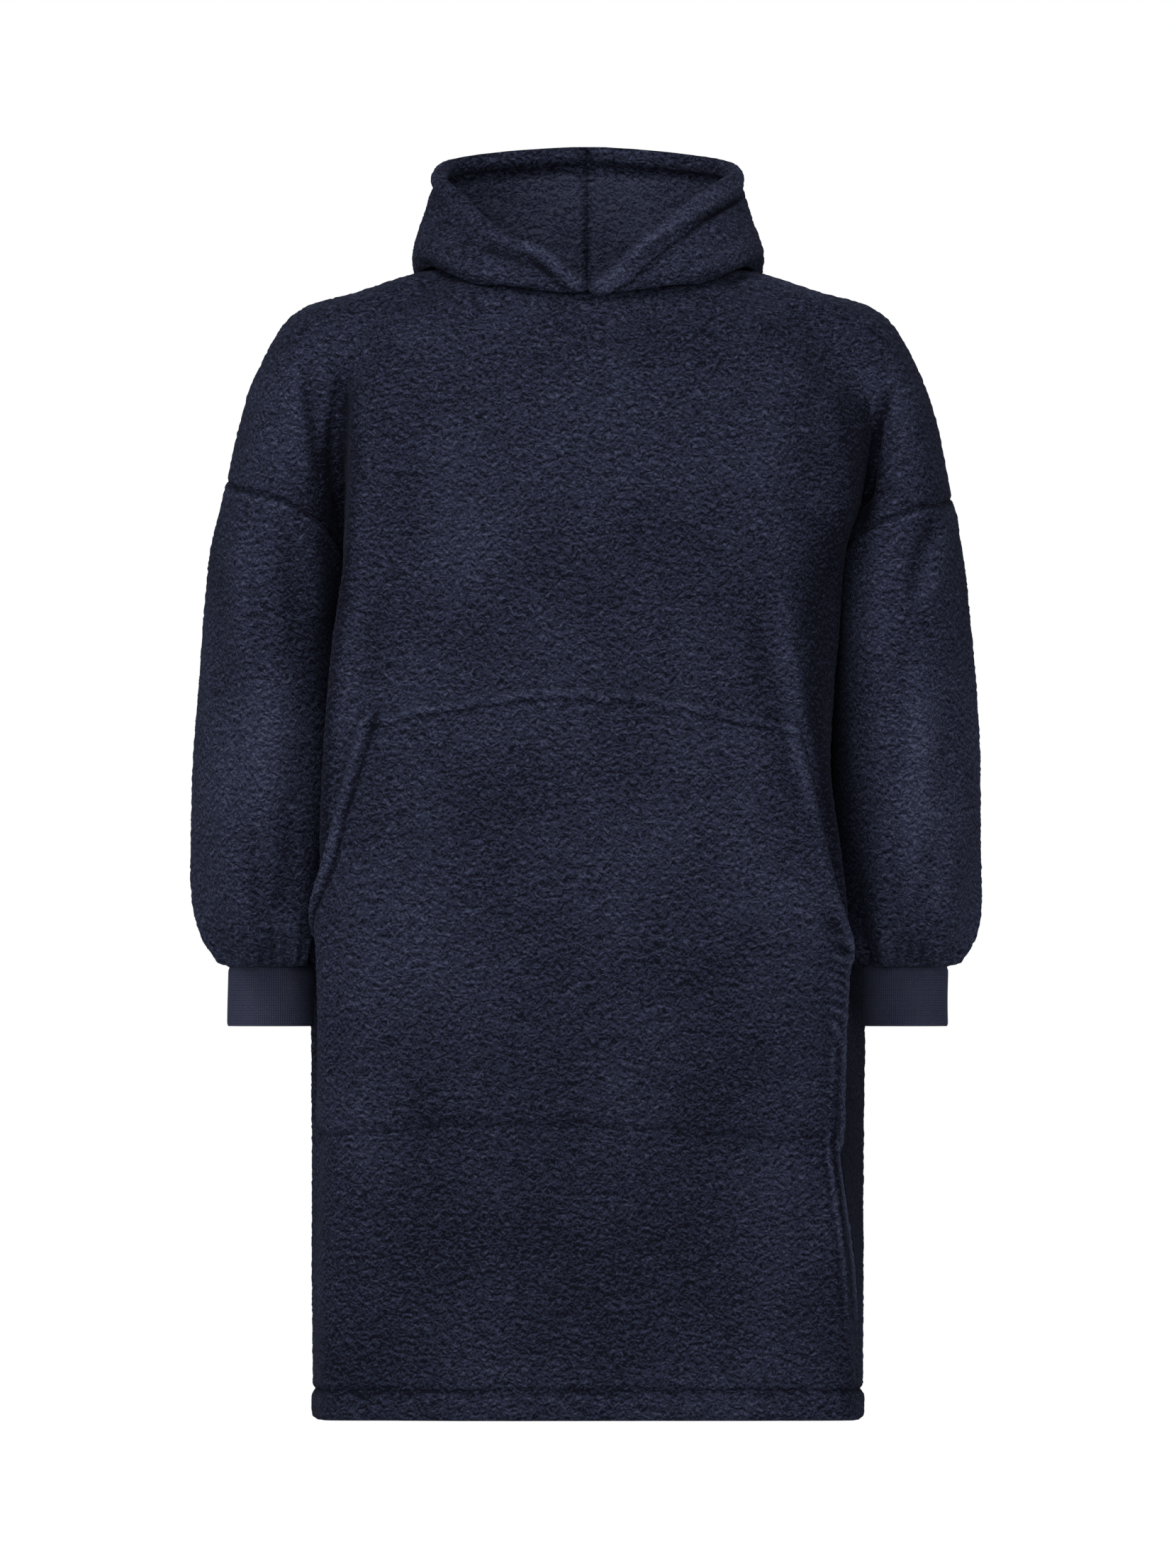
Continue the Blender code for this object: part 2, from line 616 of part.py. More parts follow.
def make_hood_half(name, side):
    stations = neck_stations()
    lines = np.array([with_ends(hood_line(side, station)) for station in stations])
    last = lines.shape[1] - 3
    rows = np.linspace(0, last, HOOD_ROWS + 1)
    columns = []
    for line in lines:
        i = np.clip(rows.astype(int), 0, last - 1)
        shares = weights(rows - i)
        columns.append(sum(shares[m][:, None] * line[i + m] for m in range(4)))
    points = np.array(columns).transpose(1, 0, 2)
    points[:, [0, -1], 0] = 0
    along = np.gradient(points, axis=1)
    down = np.gradient(points, axis=0)
    along[:, [0, -1], 1:] = 0
    normals = unit(side * np.cross(along, down))
    left = np.linalg.norm(np.diff(points, axis=0), axis=-1)[::-1].cumsum(axis=0)[::-1]
    to_hem = np.concatenate([left, np.zeros((1, len(stations)))])
    wall = FLEECE_WALL + (HEM_WALL - FLEECE_WALL) * ease((HEM_DEEP - to_hem) / HEM_STEP)
    quads = quads_of(points.shape[:2])
    cloth_piece(name, FLEECE, points, normals, quads, wall)


def along_table(z, table):
    """A table's share at levels z, with its corners smoothed."""
    levels, shares = [-level for level, _ in table], [share for _, share in table]
    return sum(np.interp(-z + step, levels, shares) for step in MOUTH_SMOOTHING) / len(MOUTH_SMOOTHING)


def pocket_grid():
    """Panel points under the pocket, their normals, and how far the pocket stands off them."""
    across = np.clip(body_shares() / MOUTH_LEFT[-1][1], -1, 1)
    down = np.linspace(0, 1, POCKET_ROWS + 1)
    down = down - 0.05 * np.sin(2 * np.pi * down)
    top = np.interp(across, *zip(*POCKET_TOP))
    bottom = np.interp(across, *zip(*POCKET_BOTTOM))
    z = top + (bottom - top) * down[:, None]
    place = across * np.where(across < 0, along_table(z, MOUTH_LEFT), along_table(z, MOUTH_RIGHT))
    points, normals = body_point(-1, row_at(z), place)
    closed_end = np.minimum(down, 1 - down)[:, None]
    room = ease(closed_end / POCKET_END_SHARE)
    caught = ease((CAUGHT_TOP - z) / CAUGHT_GROWS)
    side_room = ease((0.9 - np.abs(across)) / 0.5)
    room = room * (1 - caught * (1 - side_room))
    return points, normals, POCKET_SEAM_GAP + POCKET_ROOM * room


def make_pocket(name):
    points, normals, stand = pocket_grid()
    outer = points + normals * (stand + FLEECE_WALL)[..., None]
    cloth_piece(name, FLEECE, outer, normals, quads_of(points.shape[:2]), FLEECE_WALL, gap=0)


def clear_scene():
    for piece in list(bpy.data.objects):
        bpy.data.objects.remove(piece, do_unlink=True)
    group = bpy.data.collections.new("blanket_hoodie")
    bpy.context.scene.collection.children.link(group)


def main():
    clear_scene()
    make_panel("front", -1)
    make_panel("back", 1)
    for word, side in (("left", -1), ("right", 1)):
        make_sleeve(f"sleeve_{word}", side)
        make_cuff(f"cuff_{word}", side)
        make_hood_half(f"hood_{word}", side)
    make_pocket("pocket")


main()
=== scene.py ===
"""Looks of the wearable blanket hoodie: navy teddy fleece with a curly pile, rib cuffs and sewn hems.

Lengths in the tables are in millimetres. "out" runs from the middle plane to a side, "fwd" to the front
(-Y), z up. Left is -X, as seen from the front.
"""

from collections import namedtuple

import bpy
import numpy as np
from bpy.props import FloatProperty, FloatVectorProperty, PointerProperty
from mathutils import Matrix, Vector
from mathutils.kdtree import KDTree


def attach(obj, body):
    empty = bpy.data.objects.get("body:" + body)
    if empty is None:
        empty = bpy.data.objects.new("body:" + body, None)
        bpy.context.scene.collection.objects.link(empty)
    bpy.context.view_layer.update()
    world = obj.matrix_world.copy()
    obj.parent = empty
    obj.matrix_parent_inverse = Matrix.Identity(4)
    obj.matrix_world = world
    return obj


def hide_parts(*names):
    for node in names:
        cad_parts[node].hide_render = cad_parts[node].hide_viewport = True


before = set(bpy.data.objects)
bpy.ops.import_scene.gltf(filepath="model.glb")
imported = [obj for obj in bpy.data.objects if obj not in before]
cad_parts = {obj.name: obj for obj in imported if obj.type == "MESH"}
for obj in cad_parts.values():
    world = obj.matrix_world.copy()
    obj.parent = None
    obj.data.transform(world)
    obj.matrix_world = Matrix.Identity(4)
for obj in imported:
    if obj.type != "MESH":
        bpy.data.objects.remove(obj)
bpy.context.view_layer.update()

bl_info = {
    "name": "Blanket hoodie looks",
    "version": (1, 0, 0),
    "blender": (4, 5, 0),
    "location": "3D View > Sidebar > Hoodie",
    "description": "Builds the cloth pieces of a wearable blanket hoodie over its packed frame",
    "category": "Object",
}

MM = 0.001
FLEECE_WALL = 4.0
HEM_WALL = 6.5
HEM_DEEP = 25.0
HEM_STEP = 6.0
RIB_WALL = 2.0
SEAM_GAP = 0.3

# Faces of a fine grid to each inner face, except in the hood, where both sides show.
INNER_STEP = 4
EDGE_ROUND = 3.6
EDGE_SINK = 0.42
FAR_FROM_RIM = 99.0
STITCH_WIDE = 2.4
# Shares of its height that the pile loses at a rim and in a line of stitches.
RIM_PRESSED = 0.5
STITCH_PRESSED = 0.6
# How far apart the curls of a sheet's two faces are looked up.
BEHIND_SHIFT = 37.0

# How dark the pile gets in a line of stitches, in creases, and between the arms and the body.
STITCH_SHADOW = 0.65
CREASE_SHADOW = 0.8
CREASE_DARKEST = 0.2
GAP_SHADOW = 0.7
# How much painted light brightens the pile on the hood's inside, away from its hem band.
INSIDE_PAINTED_LIGHT = 0.8
# How far above a curl, in cells, its shadow is looked up, and how strongly light and dark differ.
CURL_SHADOW = (0.0, 0.0, 0.32)
CURL_CONTRAST = 1.5

# A ramp is the value where a rise from 0 to 1 starts, and how far it runs, downward if negative.
UNDERARM_RAMP = (24.0, 30.0)
FOLD_ENDS = (-0.0375, 0.25)
FOLD_FACING = (-0.2, 1 / 3)
HEM_PILE = (FLEECE_WALL, 1.5)

# The seam inside the hood: its ridge's place, width, height and ramp to the back, its groove and shadow.
RIDGE_PLACE, RIDGE_WIDE, RIDGE_HIGH = 4.0, 3.0, 2.4
RIDGE_BACK = (0.0, 40.0)
CENTRE_GROOVE = (2.0, -2.0)
CENTRE_SHADOW = 0.5

# The photograph's scale in pixels per mm, the row of the neck base and its height.
PHOTO_SCALE = 1.70
NECK_ROW = 385
PHOTO_HEIGHT = 2212
CAMERA_AWAY = 40.0
SENSOR = 24.0
FLOOR_RADIUS = 3800.0
FLOOR_LEVEL = -1450.0
FLOOR_CORNERS = 96
# Name, place, aim, size in metres and power of each soft light.
LIGHTS = (
    ("key", (-1.0, -1.8, 1.5), (0.0, 0.0, 0.0), (1.2, 1.0), 50.0),
    ("fill", (2.0, -2.6, 0.5), (0.0, 0.0, -0.2), (1.6, 1.6), 26.0),
    ("left_fill", (-2.4, -2.4, 0.1), (0.0, 0.0, -0.3), (1.4, 1.4), 24.0),
    ("front_light", (0.0, -3.0, 0.3), (0.0, 0.0, 0.1), (1.4, 1.4), 36.0),
    ("back_light", (0.4, 2.8, 1.8), (0.0, 0.0, -0.3), (2.2, 1.8), 85.0),
)
# Strength of the studio's white surroundings as they light the cloth. As a background they are plain white.
SURROUNDINGS = 0.40

# Rings over the shoulders, from the neckline down to the row above the underarm. seam is on the shoulder
# seam, arm on the front of the arm, valley between arm and chest, corner at the side of the chest.
Yoke = namedtuple(
    "Yoke",
    "seam_out seam_z arm_out arm_fwd arm_z valley_out valley_fwd valley_z"
    " corner_out corner_fwd corner_z centre_fwd centre_z",
)
YOKE_LEFT = (
    Yoke(113, 4, 105, 24, 2, 90, 45, -2, 58, 67, -7, 82, -11),
    Yoke(146, -1, 135, 36, -6, 117, 62, -15, 78, 89, -28, 102, -42),
    Yoke(190, -15.5, 176, 52, -23, 153, 77, -37, 105, 109, -62, 121, -86),
    Yoke(236.5, -29.5, 213, 66, -46, 184, 86, -66, 132, 122, -102, 134, -130),
    Yoke(262, -57, 236, 80, -83, 202, 80, -107, 158, 128, -145, 142, -172),
    Yoke(285, -112, 247, 89, -134, 206, 62, -165, 177, 130, -196, 146, -212),
)
YOKE_RIGHT = (
    *YOKE_LEFT[:2],
    Yoke(190, -15.5, 177, 52, -23, 156, 77, -37, 104, 109, -62, 121, -86),
    Yoke(236.5, -29.5, 217, 62, -46, 190, 84, -67, 130, 122, -102, 134, -130),
    Yoke(262, -57, 249, 66, -83, 226, 70, -108, 149, 130, -145, 142, -172),
    Yoke(286.5, -114, 264, 78, -138, 234, 54, -173, 159, 131, -198, 146, -212),
)
YOKE_BACK_SHARE = 0.9
ARMHOLE_BACK_SHARE = 0.96
# How much higher each ring is at the back, and the share of it at the arm and the valley.
BACK_NECK_RISE = (6, 4, 1, 0, 0, 0)
ARM_RISE = 0.3
VALLEY_RISE = 0.6

# Places between two named points of a ring, as shares in out, fwd and z.
TO_SEAM = (0.72, 0.3, 0.55)
TO_VALLEY = (0.64, 0.3, 0.4)
TO_CORNER = (0.3, 0.6, 0.45)
TO_CENTRE = (0.48, 0.78, 0.75)
LEVEL_TO_CENTRE = (0.48, 0.78, 0)

# The armhole seam runs round the upper arm, low under a dropped shoulder.
Armhole = namedtuple("Armhole", "seam_out seam_z arm_out arm_fwd arm_z")
ARMHOLES = (Armhole(300, -173, 256, 92, -186), Armhole(302, -188, 265, 88, -196))

# Level sections of the body below the arms. flank is where the sleeve lies against it.
Trunk = namedtuple(
    "Trunk", "z seam_out seam_fwd flank_out flank_fwd corner_out corner_fwd centre_fwd"
)
TRUNK_LEFT = (
    Trunk(-250, 196, 0, 203, 86, 191, 128, 148),
    Trunk(-300, 191, 0, 210, 90, 195, 131, 150),
    Trunk(-350, 190, 0, 215, 93, 198, 133, 152),
    Trunk(-410, 190, 0, 219, 96, 201, 134, 154),
    Trunk(-470, 191, 0, 221, 97, 203, 135, 155),
    Trunk(-530, 193, 0, 220, 95, 203, 135, 155),
    Trunk(-585, 199, 0, 218, 88, 203, 132, 154),
    Trunk(-640, 208, 0, 218, 74, 203, 129, 152),
    Trunk(-720, 219, 0, 220, 62, 205, 126, 149),
    Trunk(-830, 226, 0, 225, 56, 208, 122, 145),
    Trunk(-951, 227, 0, 224, 54, 207, 117, 140),
)
TRUNK_RIGHT = (
    Trunk(-250, 200, 0, 210, 66, 166, 124, 148),
    Trunk(-300, 197, 0, 207, 68, 165, 132, 150),
    Trunk(-350, 193, 0, 203, 74, 175, 136, 152),
    Trunk(-410, 191, 0, 201, 82, 188, 137, 154),
    Trunk(-470, 191, 4, 204, 90, 199, 135, 155),
    Trunk(-530, 196, 20, 209, 95, 206, 131, 155),
    Trunk(-585, 203, 52, 206, 97, 203, 128, 154),
    Trunk(-640, 206, 66, 205, 98, 199, 126, 152),
    Trunk(-720, 208, 60, 206, 92, 198, 123, 149),
    Trunk(-830, 222, 34, 216, 80, 204, 120, 145),
    Trunk(-951, 227, 0, 225, 54, 208, 117, 140),
)

BackTrunk = namedtuple("BackTrunk", "flank_out flank_back corner_out corner_back centre_back")
TRUNK_BACK = (
    BackTrunk(199, 76, 184, 115, 133),
    BackTrunk(208, 84, 188, 117, 134),
    BackTrunk(214, 86, 191, 118, 134),
    BackTrunk(217, 89, 194, 119, 134),
    BackTrunk(220, 90, 197, 119, 133),
    BackTrunk(224, 89, 200, 118, 132),
    BackTrunk(229.5, 82, 203, 117, 131),
    BackTrunk(230, 68, 205, 115, 130),
    BackTrunk(229, 56, 206, 113, 129),
    BackTrunk(228, 50, 206, 110, 127),
    BackTrunk(226, 48, 205, 106, 124),
)

# Rings of a sleeve below the armhole seam. The last few fold under into the cuff.
SleeveRing = namedtuple("SleeveRing", "outer outer_z inner inner_z fwd back")
SLEEVE_RINGS = (
    SleeveRing(312, -236, 204, -292, 94, 90),
    SleeveRing(320, -300, 203, -342, 95, 91),
    SleeveRing(325.5, -368, 203, -396, 95, 91),
    SleeveRing(328, -436, 204, -452, 94, 90),
    SleeveRing(327, -495, 207, -502, 90, 86),
    SleeveRing(320, -540, 213, -540, 79, 76),
    SleeveRing(308, -563, 221, -562, 61, 60),
    SleeveRing(300, -573.5, 227, -573.5, 42, 42),
    SleeveRing(299.4, -576.5, 229, -576.5, 35.5, 35.5),
)
GATHERS = 6
GATHER_DEEP = 4.5
GATHER_GROWS = (-455, -85)
GATHER_ENDS = 9
GATHER_TURN = 0.6
GATHER_UNEVEN = 0.3
CUFF_OUTER = 299.0
CUFF_INNER = 227.0
CUFF_HALF_DEPTH = 35.1
CUFF_TOP = -576.8
CUFF_BOTTOM = -625

# Sections of a hood half from the middle of the front to the middle of the back, each at a station of the
# neckline. lie is how far down the panel the folded layer lies on it, low the bottom of the roll or of the
# pouch, wide its outer side, and hem the opening edge, which differs a little from left to right.
HoodSection = namedtuple(
    "HoodSection",
    "station lie low_out low_fwd low_z wide_out wide_fwd wide_z left_out left_fwd left_z"
    " right_out right_fwd right_z",
)
HOOD = (
    HoodSection(0, 0.1, 0, 96, -18, 0, 101, -13, 0, 98, -6, 0, 98, -6),
    HoodSection(2, 0.2, 62, 88, -12, 67, 90, 0, 34, 82, 20, 42, 80, 27),
    HoodSection(4, 0.3, 107, 62, -3, 113, 61, 12, 67, 57, 32, 74, 54, 53),
    HoodSection(8, 0.55, 134, 8, 6, 140, 8, 22, 103, 8, 64, 104, 8, 74),
    HoodSection(12, 0.75, 139, -66, -16, 140, -70, 22, 125, -40, 87, 124, -40, 88),
    HoodSection(14, 1.3, 96, -135, -112, 102, -147, -2, 97, -90, 100, 97, -90, 99),
    HoodSection(16, 1.8, 0, -146, -152, 0, -163, -22, 0, -110, 107, 0, -110, 107),
)
HOOD_CLEARANCE = 4.6
HOOD_HALFWAY = 0.6
HOOD_LEAST_LIE = 0.08

# The pocket's mouths: level, and how far out from the middle to the side seam as a share.
MOUTH_LEFT = (
    (-340, 0.45), (-368, 0.455), (-398, 0.48), (-438, 0.505), (-505, 0.6), (-540, 0.74), (-592, 0.975),
    (-730, 0.975),
)
MOUTH_RIGHT = (
    (-340, 0.46), (-375, 0.465), (-402, 0.465), (-450, 0.475), (-490, 0.49), (-530, 0.515), (-560, 0.58),
    (-600, 0.8), (-625, 0.975), (-730, 0.975),
)
MOUTH_SMOOTHING = (-18, -9, 0, 9, 18)
# Its top and bottom edges: share out from the middle, and level.
POCKET_TOP = ((-1, -370), (-0.62, -354), (-0.2, -343), (0.2, -346.5), (0.62, -359), (1, -375))
POCKET_BOTTOM = (
    (-1, -720), (-0.7, -712), (-0.5, -715), (-0.2, -705), (0, -706), (0.3, -716), (0.66, -719), (1, -728),
)
POCKET_SEAM_GAP = 1.7
POCKET_ROOM = 13.0
POCKET_END = (0.0, 0.22)
# How much of its room a pocket loses where it turns to the side of the body, and where it is caught there.
SIDE_FLAT = 0.95
SIDE_TURN = (0.1, 0.45)
SIDE_ROOM = (0.9, -0.5)
CAUGHT = (-530, -60)

# Soft creases and ridges of each piece's front (-1) or back (1), as lines in (out, z) seen from there.
# deep is into the cloth and negative for a ridge, wide is the half width.
Fold = namedtuple("Fold", "deep wide line")
FOLDS = {
    ("front", -1): (
        Fold(5.0, 7, ((-203, -66), (-204, -120), (-206, -185), (-209, -232))),
        Fold(-3.0, 10, ((-190, -70), (-190, -130), (-193, -190), (-196, -245))),
        Fold(-3.6, 10, ((-249, -72), (-240, -130), (-231, -186))),
        Fold(4.2, 7, ((-236, -76), (-226, -125), (-219, -182))),
        Fold(-2.4, 13, ((-276, -80), (-268, -125), (-262, -165))),
        Fold(5.0, 3.6, ((251, -90), (240, -131), (233, -178), (227, -214))),
        Fold(-3.6, 11, ((232, -76), (222, -122), (214, -170), (206, -220))),
        Fold(3.0, 13, ((200, -60), (190, -105), (182, -170), (178, -225))),
        Fold(-2.4, 16, ((160, -60), (150, -120), (148, -190))),
        Fold(2.8, 18, ((-160, -60), (-150, -120), (-152, -190), (-166, -250))),
        Fold(-2.6, 11, ((266, -92), (262, -130), (254, -176))),
    ),
    ("body", -1): (
        Fold(-4.0, 12, ((162, -262), (163, -303), (171, -350), (180, -398), (191, -446))),
        Fold(4.4, 10, ((144, -256), (144, -310), (152, -362), (161, -410), (172, -455))),
        Fold(3.4, 8, ((180, -330), (188, -380), (197, -430), (204, -490), (208, -540))),
        Fold(-2.8, 13, ((-192, -280), (-196, -350), (-198, -400))),
        Fold(3.0, 11, ((-174, -262), (-178, -330), (-181, -392))),
        Fold(4.0, 26, ((-40, -700), (-38, -770), (-34, -850), (-40, -905))),
        Fold(-4.0, 30, ((30, -640), (24, -700), (18, -780), (14, -860))),
        Fold(3.6, 28, ((104, -650), (110, -740), (104, -820), (96, -890))),
        Fold(-3.6, 26, ((165, -660), (160, -750), (154, -840), (150, -900))),
        Fold(3.4, 24, ((-128, -640), (-124, -720), (-120, -800), (-122, -880))),
        Fold(-3.6, 26, ((-176, -650), (-172, -740), (-168, -830), (-166, -900))),
        Fold(-4.4, 34, ((58, -430), (62, -480), (52, -540))),
        Fold(3.2, 22, ((-60, -420), (-66, -500), (-70, -580))),
        Fold(-2.4, 20, ((-120, -400), (-132, -480), (-140, -560))),
    ),
    ("back", 1): (
        Fold(4.6, 8, ((-206, -60), (-208, -120), (-210, -190))),
        Fold(4.4, 8, ((208, -60), (210, -120), (213, -190))),
        Fold(-3.4, 12, ((-248, -60), (-244, -120), (-238, -172))),
        Fold(-3.2, 12, ((252, -64), (246, -126), (242, -180))),
        Fold(3.6, 18, ((-150, -150), (-160, -230), (-176, -300), (-188, -360))),
        Fold(3.4, 18, ((146, -160), (158, -240), (172, -310), (186, -380))),
        Fold(-3.2, 22, ((-120, -240), (-132, -330), (-150, -430))),
        Fold(4.2, 28, ((-70, -560), (-76, -680), (-72, -800), (-78, -900))),
        Fold(-4.0, 30, ((-10, -520), (-6, -640), (-12, -780), (-8, -900))),
        Fold(3.8, 28, ((62, -580), (70, -700), (66, -820), (72, -905))),
        Fold(-3.6, 26, ((126, -600), (130, -720), (124, -840))),
        Fold(-3.4, 26, ((-138, -590), (-134, -710), (-140, -850))),
    ),
    ("sleeve_left", -1): (
        Fold(-3.4, 10, ((-232, -196), (-226, -240), (-224, -300))),
        Fold(3.6, 9, ((-252, -205), (-246, -260), (-240, -330))),
        Fold(-3.4, 13, ((-286, -200), (-290, -260), (-292, -330))),
        Fold(3.2, 14, ((-304, -240), (-306, -330), (-302, -410))),
        Fold(-3.0, 16, ((-268, -300), (-264, -370), (-262, -440))),
        Fold(3.2, 9, ((-246, -430), (-248, -490), (-254, -545))),
        Fold(3.0, 8, ((-282, -452), (-278, -500), (-272, -548))),
    ),
    ("sleeve_left", 1): (
        Fold(3.4, 12, ((-240, -200), (-236, -270), (-232, -340))),
        Fold(-3.2, 14, ((-264, -210), (-262, -300), (-258, -390))),
        Fold(3.2, 10, ((-286, -440), (-280, -500), (-270, -548))),
    ),
    ("sleeve_right", -1): (
        Fold(-4.4, 8, ((304, -192), (292, -226), (284, -256), (278, -285))),
        Fold(4.0, 8, ((290, -200), (277, -234), (268, -270))),
        Fold(-3.4, 11, ((246, -205), (240, -260), (238, -330))),
        Fold(3.2, 10, ((262, -300), (256, -360), (254, -430))),
        Fold(3.0, 15, ((302, -300), (302, -380), (296, -450))),
        Fold(-2.8, 14, ((280, -320), (278, -400), (274, -470))),
        Fold(3.2, 9, ((250, -440), (252, -492), (258, -548))),
        Fold(2.8, 8, ((288, -460), (282, -505), (274, -550))),
    ),
    ("sleeve_right", 1): (
        Fold(3.4, 12, ((242, -210), (238, -280), (234, -350))),
        Fold(-3.2, 14, ((268, -215), (264, -310), (260, -400))),
        Fold(3.2, 10, ((286, -445), (280, -505), (270, -550))),
    ),
    ("hood_right", -1): (
        Fold(4.0, 4, ((129, 62), (95, 46), (60, 25), (36, 7), (24, -9))),
        Fold(-1.8, 9, ((134, 22), (100, 4), (70, -5))),
    ),
    ("hood_left", -1): (
        Fold(3.6, 4, ((-98, 24), (-72, 17), (-37, 5), (-9, -11))),
        Fold(-1.8, 9, ((-130, 30), (-104, 6), (-70, -4))),
    ),
    ("hood_left", 1): (
        Fold(3.4, 12, ((-60, 70), (-52, 10), (-36, -60), (-16, -110))),
        Fold(-2.8, 13, ((-100, 50), (-92, -10), (-70, -70))),
    ),
    ("hood_right", 1): (
        Fold(3.2, 12, ((66, 64), (56, 4), (38, -66), (14, -112))),
        Fold(-2.8, 13, ((104, 44), (94, -14), (72, -74))),
    ),
}
# Folds that a piece takes: its own and, for the front and its pocket, those of the body.
FOLDS_ON = {"front": ("front", "body"), "pocket": ("body",)}


def weights(share):
    """Weights of four points in a row for a place between the middle two."""
    return np.stack(
        [
            (-share + 2 * share**2 - share**3) / 2,
            (2 - 5 * share**2 + 3 * share**3) / 2,
            (share + 4 * share**2 - 3 * share**3) / 2,
            (share**3 - share**2) / 2,
        ]
    )


def on_net(net, row, column):
    """Points of the smooth surface through a net that has a spare row and column on every side."""
    row, column = np.broadcast_arrays(np.asarray(row, float), np.asarray(column, float))
    i = np.clip(row.astype(int), 0, net.shape[0] - 4)
    j = np.clip(column.astype(int), 0, net.shape[1] - 4)
    down, along = weights(row - i), weights(column - j)
    return sum(
        (down[m] * along[n])[..., None] * net[i + m, j + n] for m in range(4) for n in range(4)
    )


def with_ends(net):
    """The net with a row added before its first and after its last, in line with them."""
    return np.concatenate([[2 * net[0] - net[1]], net, [2 * net[-1] - net[-2]]])


def mix(a, b, shares):
    """A point between two, by a share for each direction."""
    return a + (b - a) * np.array(shares)


def at(side, out, fwd, z):
    return np.array([side * out, -fwd, z], float)


def yoke_ring(row, side, face, rise=0.0):
    """Nine stations of a shoulder ring: seam, two on the arm, two more, valley, flank, corner, centre."""
    deep = 1.0 if face < 0 else -YOKE_BACK_SHARE
    seam = at(side, row.seam_out, 0, row.seam_z)
    arm = at(side, row.arm_out, deep * row.arm_fwd, row.arm_z + rise * ARM_RISE)
    valley = at(side, row.valley_out, deep * row.valley_fwd, row.valley_z + rise * VALLEY_RISE)
    corner = at(side, row.corner_out, deep * row.corner_fwd, row.corner_z + rise)
    centre = at(side, 0, deep * row.centre_fwd, row.centre_z + rise)
    return arm_stations(seam, arm, valley) + [
        mix(valley, corner, TO_CORNER),
        corner,
        mix(corner, centre, TO_CENTRE),
        centre,
    ]


def arm_stations(seam, arm, valley):
    return [seam, mix(arm, seam, TO_SEAM), arm, mix(arm, valley, TO_VALLEY), valley]


def trunk_stations(level, side, face):
    """Five stations of a level section: side seam, flank, corner, a point on the way, centre."""
    row = (TRUNK_LEFT if side < 0 else TRUNK_RIGHT)[level]
    seam = at(side, row.seam_out, row.seam_fwd, row.z)
    places = ((row.flank_out, row.flank_fwd), (row.corner_out, row.corner_fwd), (0, row.centre_fwd))
    if face > 0:
        back = TRUNK_BACK[level]
        places = (
            (back.flank_out, -back.flank_back), (back.corner_out, -back.corner_back), (0, -back.centre_back)
        )
    flank, corner, centre = (at(side, *place, row.z) for place in places)
    return [seam, flank, corner, mix(corner, centre, LEVEL_TO_CENTRE), centre]


def yoke_rows(side, face):
    """Shoulder rings of one side. The back takes its shape from the plain left side."""
    own = YOKE_LEFT if side < 0 else YOKE_RIGHT
    rows = []
    for k, row in enumerate(own):
        if face > 0:
            row = YOKE_LEFT[k]._replace(seam_out=row.seam_out, seam_z=row.seam_z)
        rows.append(yoke_ring(row, side, face, BACK_NECK_RISE[k] if face > 0 else 0))
    return rows


def underarm(side):
    return trunk_stations(0, side, -1)[0]


def armhole_stations(side, face):
    hole = ARMHOLES[0 if side < 0 else 1]
    deep = 1.0 if face < 0 else -ARMHOLE_BACK_SHARE
    seam = at(side, hole.seam_out, 0, hole.seam_z)
    arm = at(side, hole.arm_out, deep * hole.arm_fwd, hole.arm_z)
    return arm_stations(seam, arm, underarm(side))


# Stations round a sleeve.
ROUND = 8


def sleeve_stations(ring, side):
    """Stations round a sleeve: outer, front outer, front, front inner, inner, and back again."""
    middle, half = (ring.outer + ring.inner) / 2, (ring.outer - ring.inner) / 2
    stations = []
    for turn in np.arange(ROUND) * 2 * np.pi / ROUND:
        across = np.cos(turn)
        deep = ring.fwd if turn <= np.pi else ring.back
        z = (ring.outer_z + ring.inner_z) / 2 + (ring.outer_z - ring.inner_z) / 2 * across
        stations.append(at(side, middle + half * across, deep * np.sin(turn), z))
    return stations


def body_net(face):
    """Net of a whole panel between the valleys, and below them between the side seams."""
    rows = []
    left, right = yoke_rows(-1, face), yoke_rows(1, face)
    for a, b in zip(left, right):
        rows.append([a[3]] + a[4:] + b[4:-1][::-1] + [b[3]])
    for level in range(len(TRUNK_LEFT)):
        a, b = trunk_stations(level, -1, face), trunk_stations(level, 1, face)
        beyond = [trunk_stations(level, side, -face)[1] for side in (-1, 1)]
        rows.append([beyond[0]] + a + b[:-1][::-1] + [beyond[1]])
    return with_ends(np.array(rows))


def arm_net(side, face):
    """Net of the dropped shoulder, from the shoulder seam to the valley and down to the armhole."""
    near, far = yoke_rows(side, face), yoke_rows(side, -face)
    rows = [[b[1]] + a[:6] for a, b in zip(near, far)]
    hole, other = armhole_stations(side, face), armhole_stations(side, -face)
    rows.append([other[1]] + hole + [other[3]])
    ring = sleeve_stations(SLEEVE_RINGS[0], side)
    order = (7, 0, 1, 2, 3, 4, 5) if face < 0 else (1, 0, 7, 6, 5, 4, 3)
    rows.append([ring[i] for i in order])
    net = np.array(rows)
    return np.concatenate([[2 * net[0] - net[1]], net])


def sleeve_net(side):
    """Net round a sleeve. Its spare first row is the last shoulder ring, so that the seam runs smoothly."""
    front, back = yoke_rows(side, -1)[-1], yoke_rows(side, 1)[-1]
    above = front[:4] + [(front[4] + back[4]) / 2] + back[3:0:-1]
    hole, other = armhole_stations(side, -1), armhole_stations(side, 1)
    rows = [above, hole + other[3:0:-1]]
    rows += [sleeve_stations(ring, side) for ring in SLEEVE_RINGS]
    net = np.array(rows)
    net = np.concatenate([net, [2 * net[-1] - net[-2]]])
    return np.concatenate([net[:, -1:], net, net[:, :2]], axis=1)


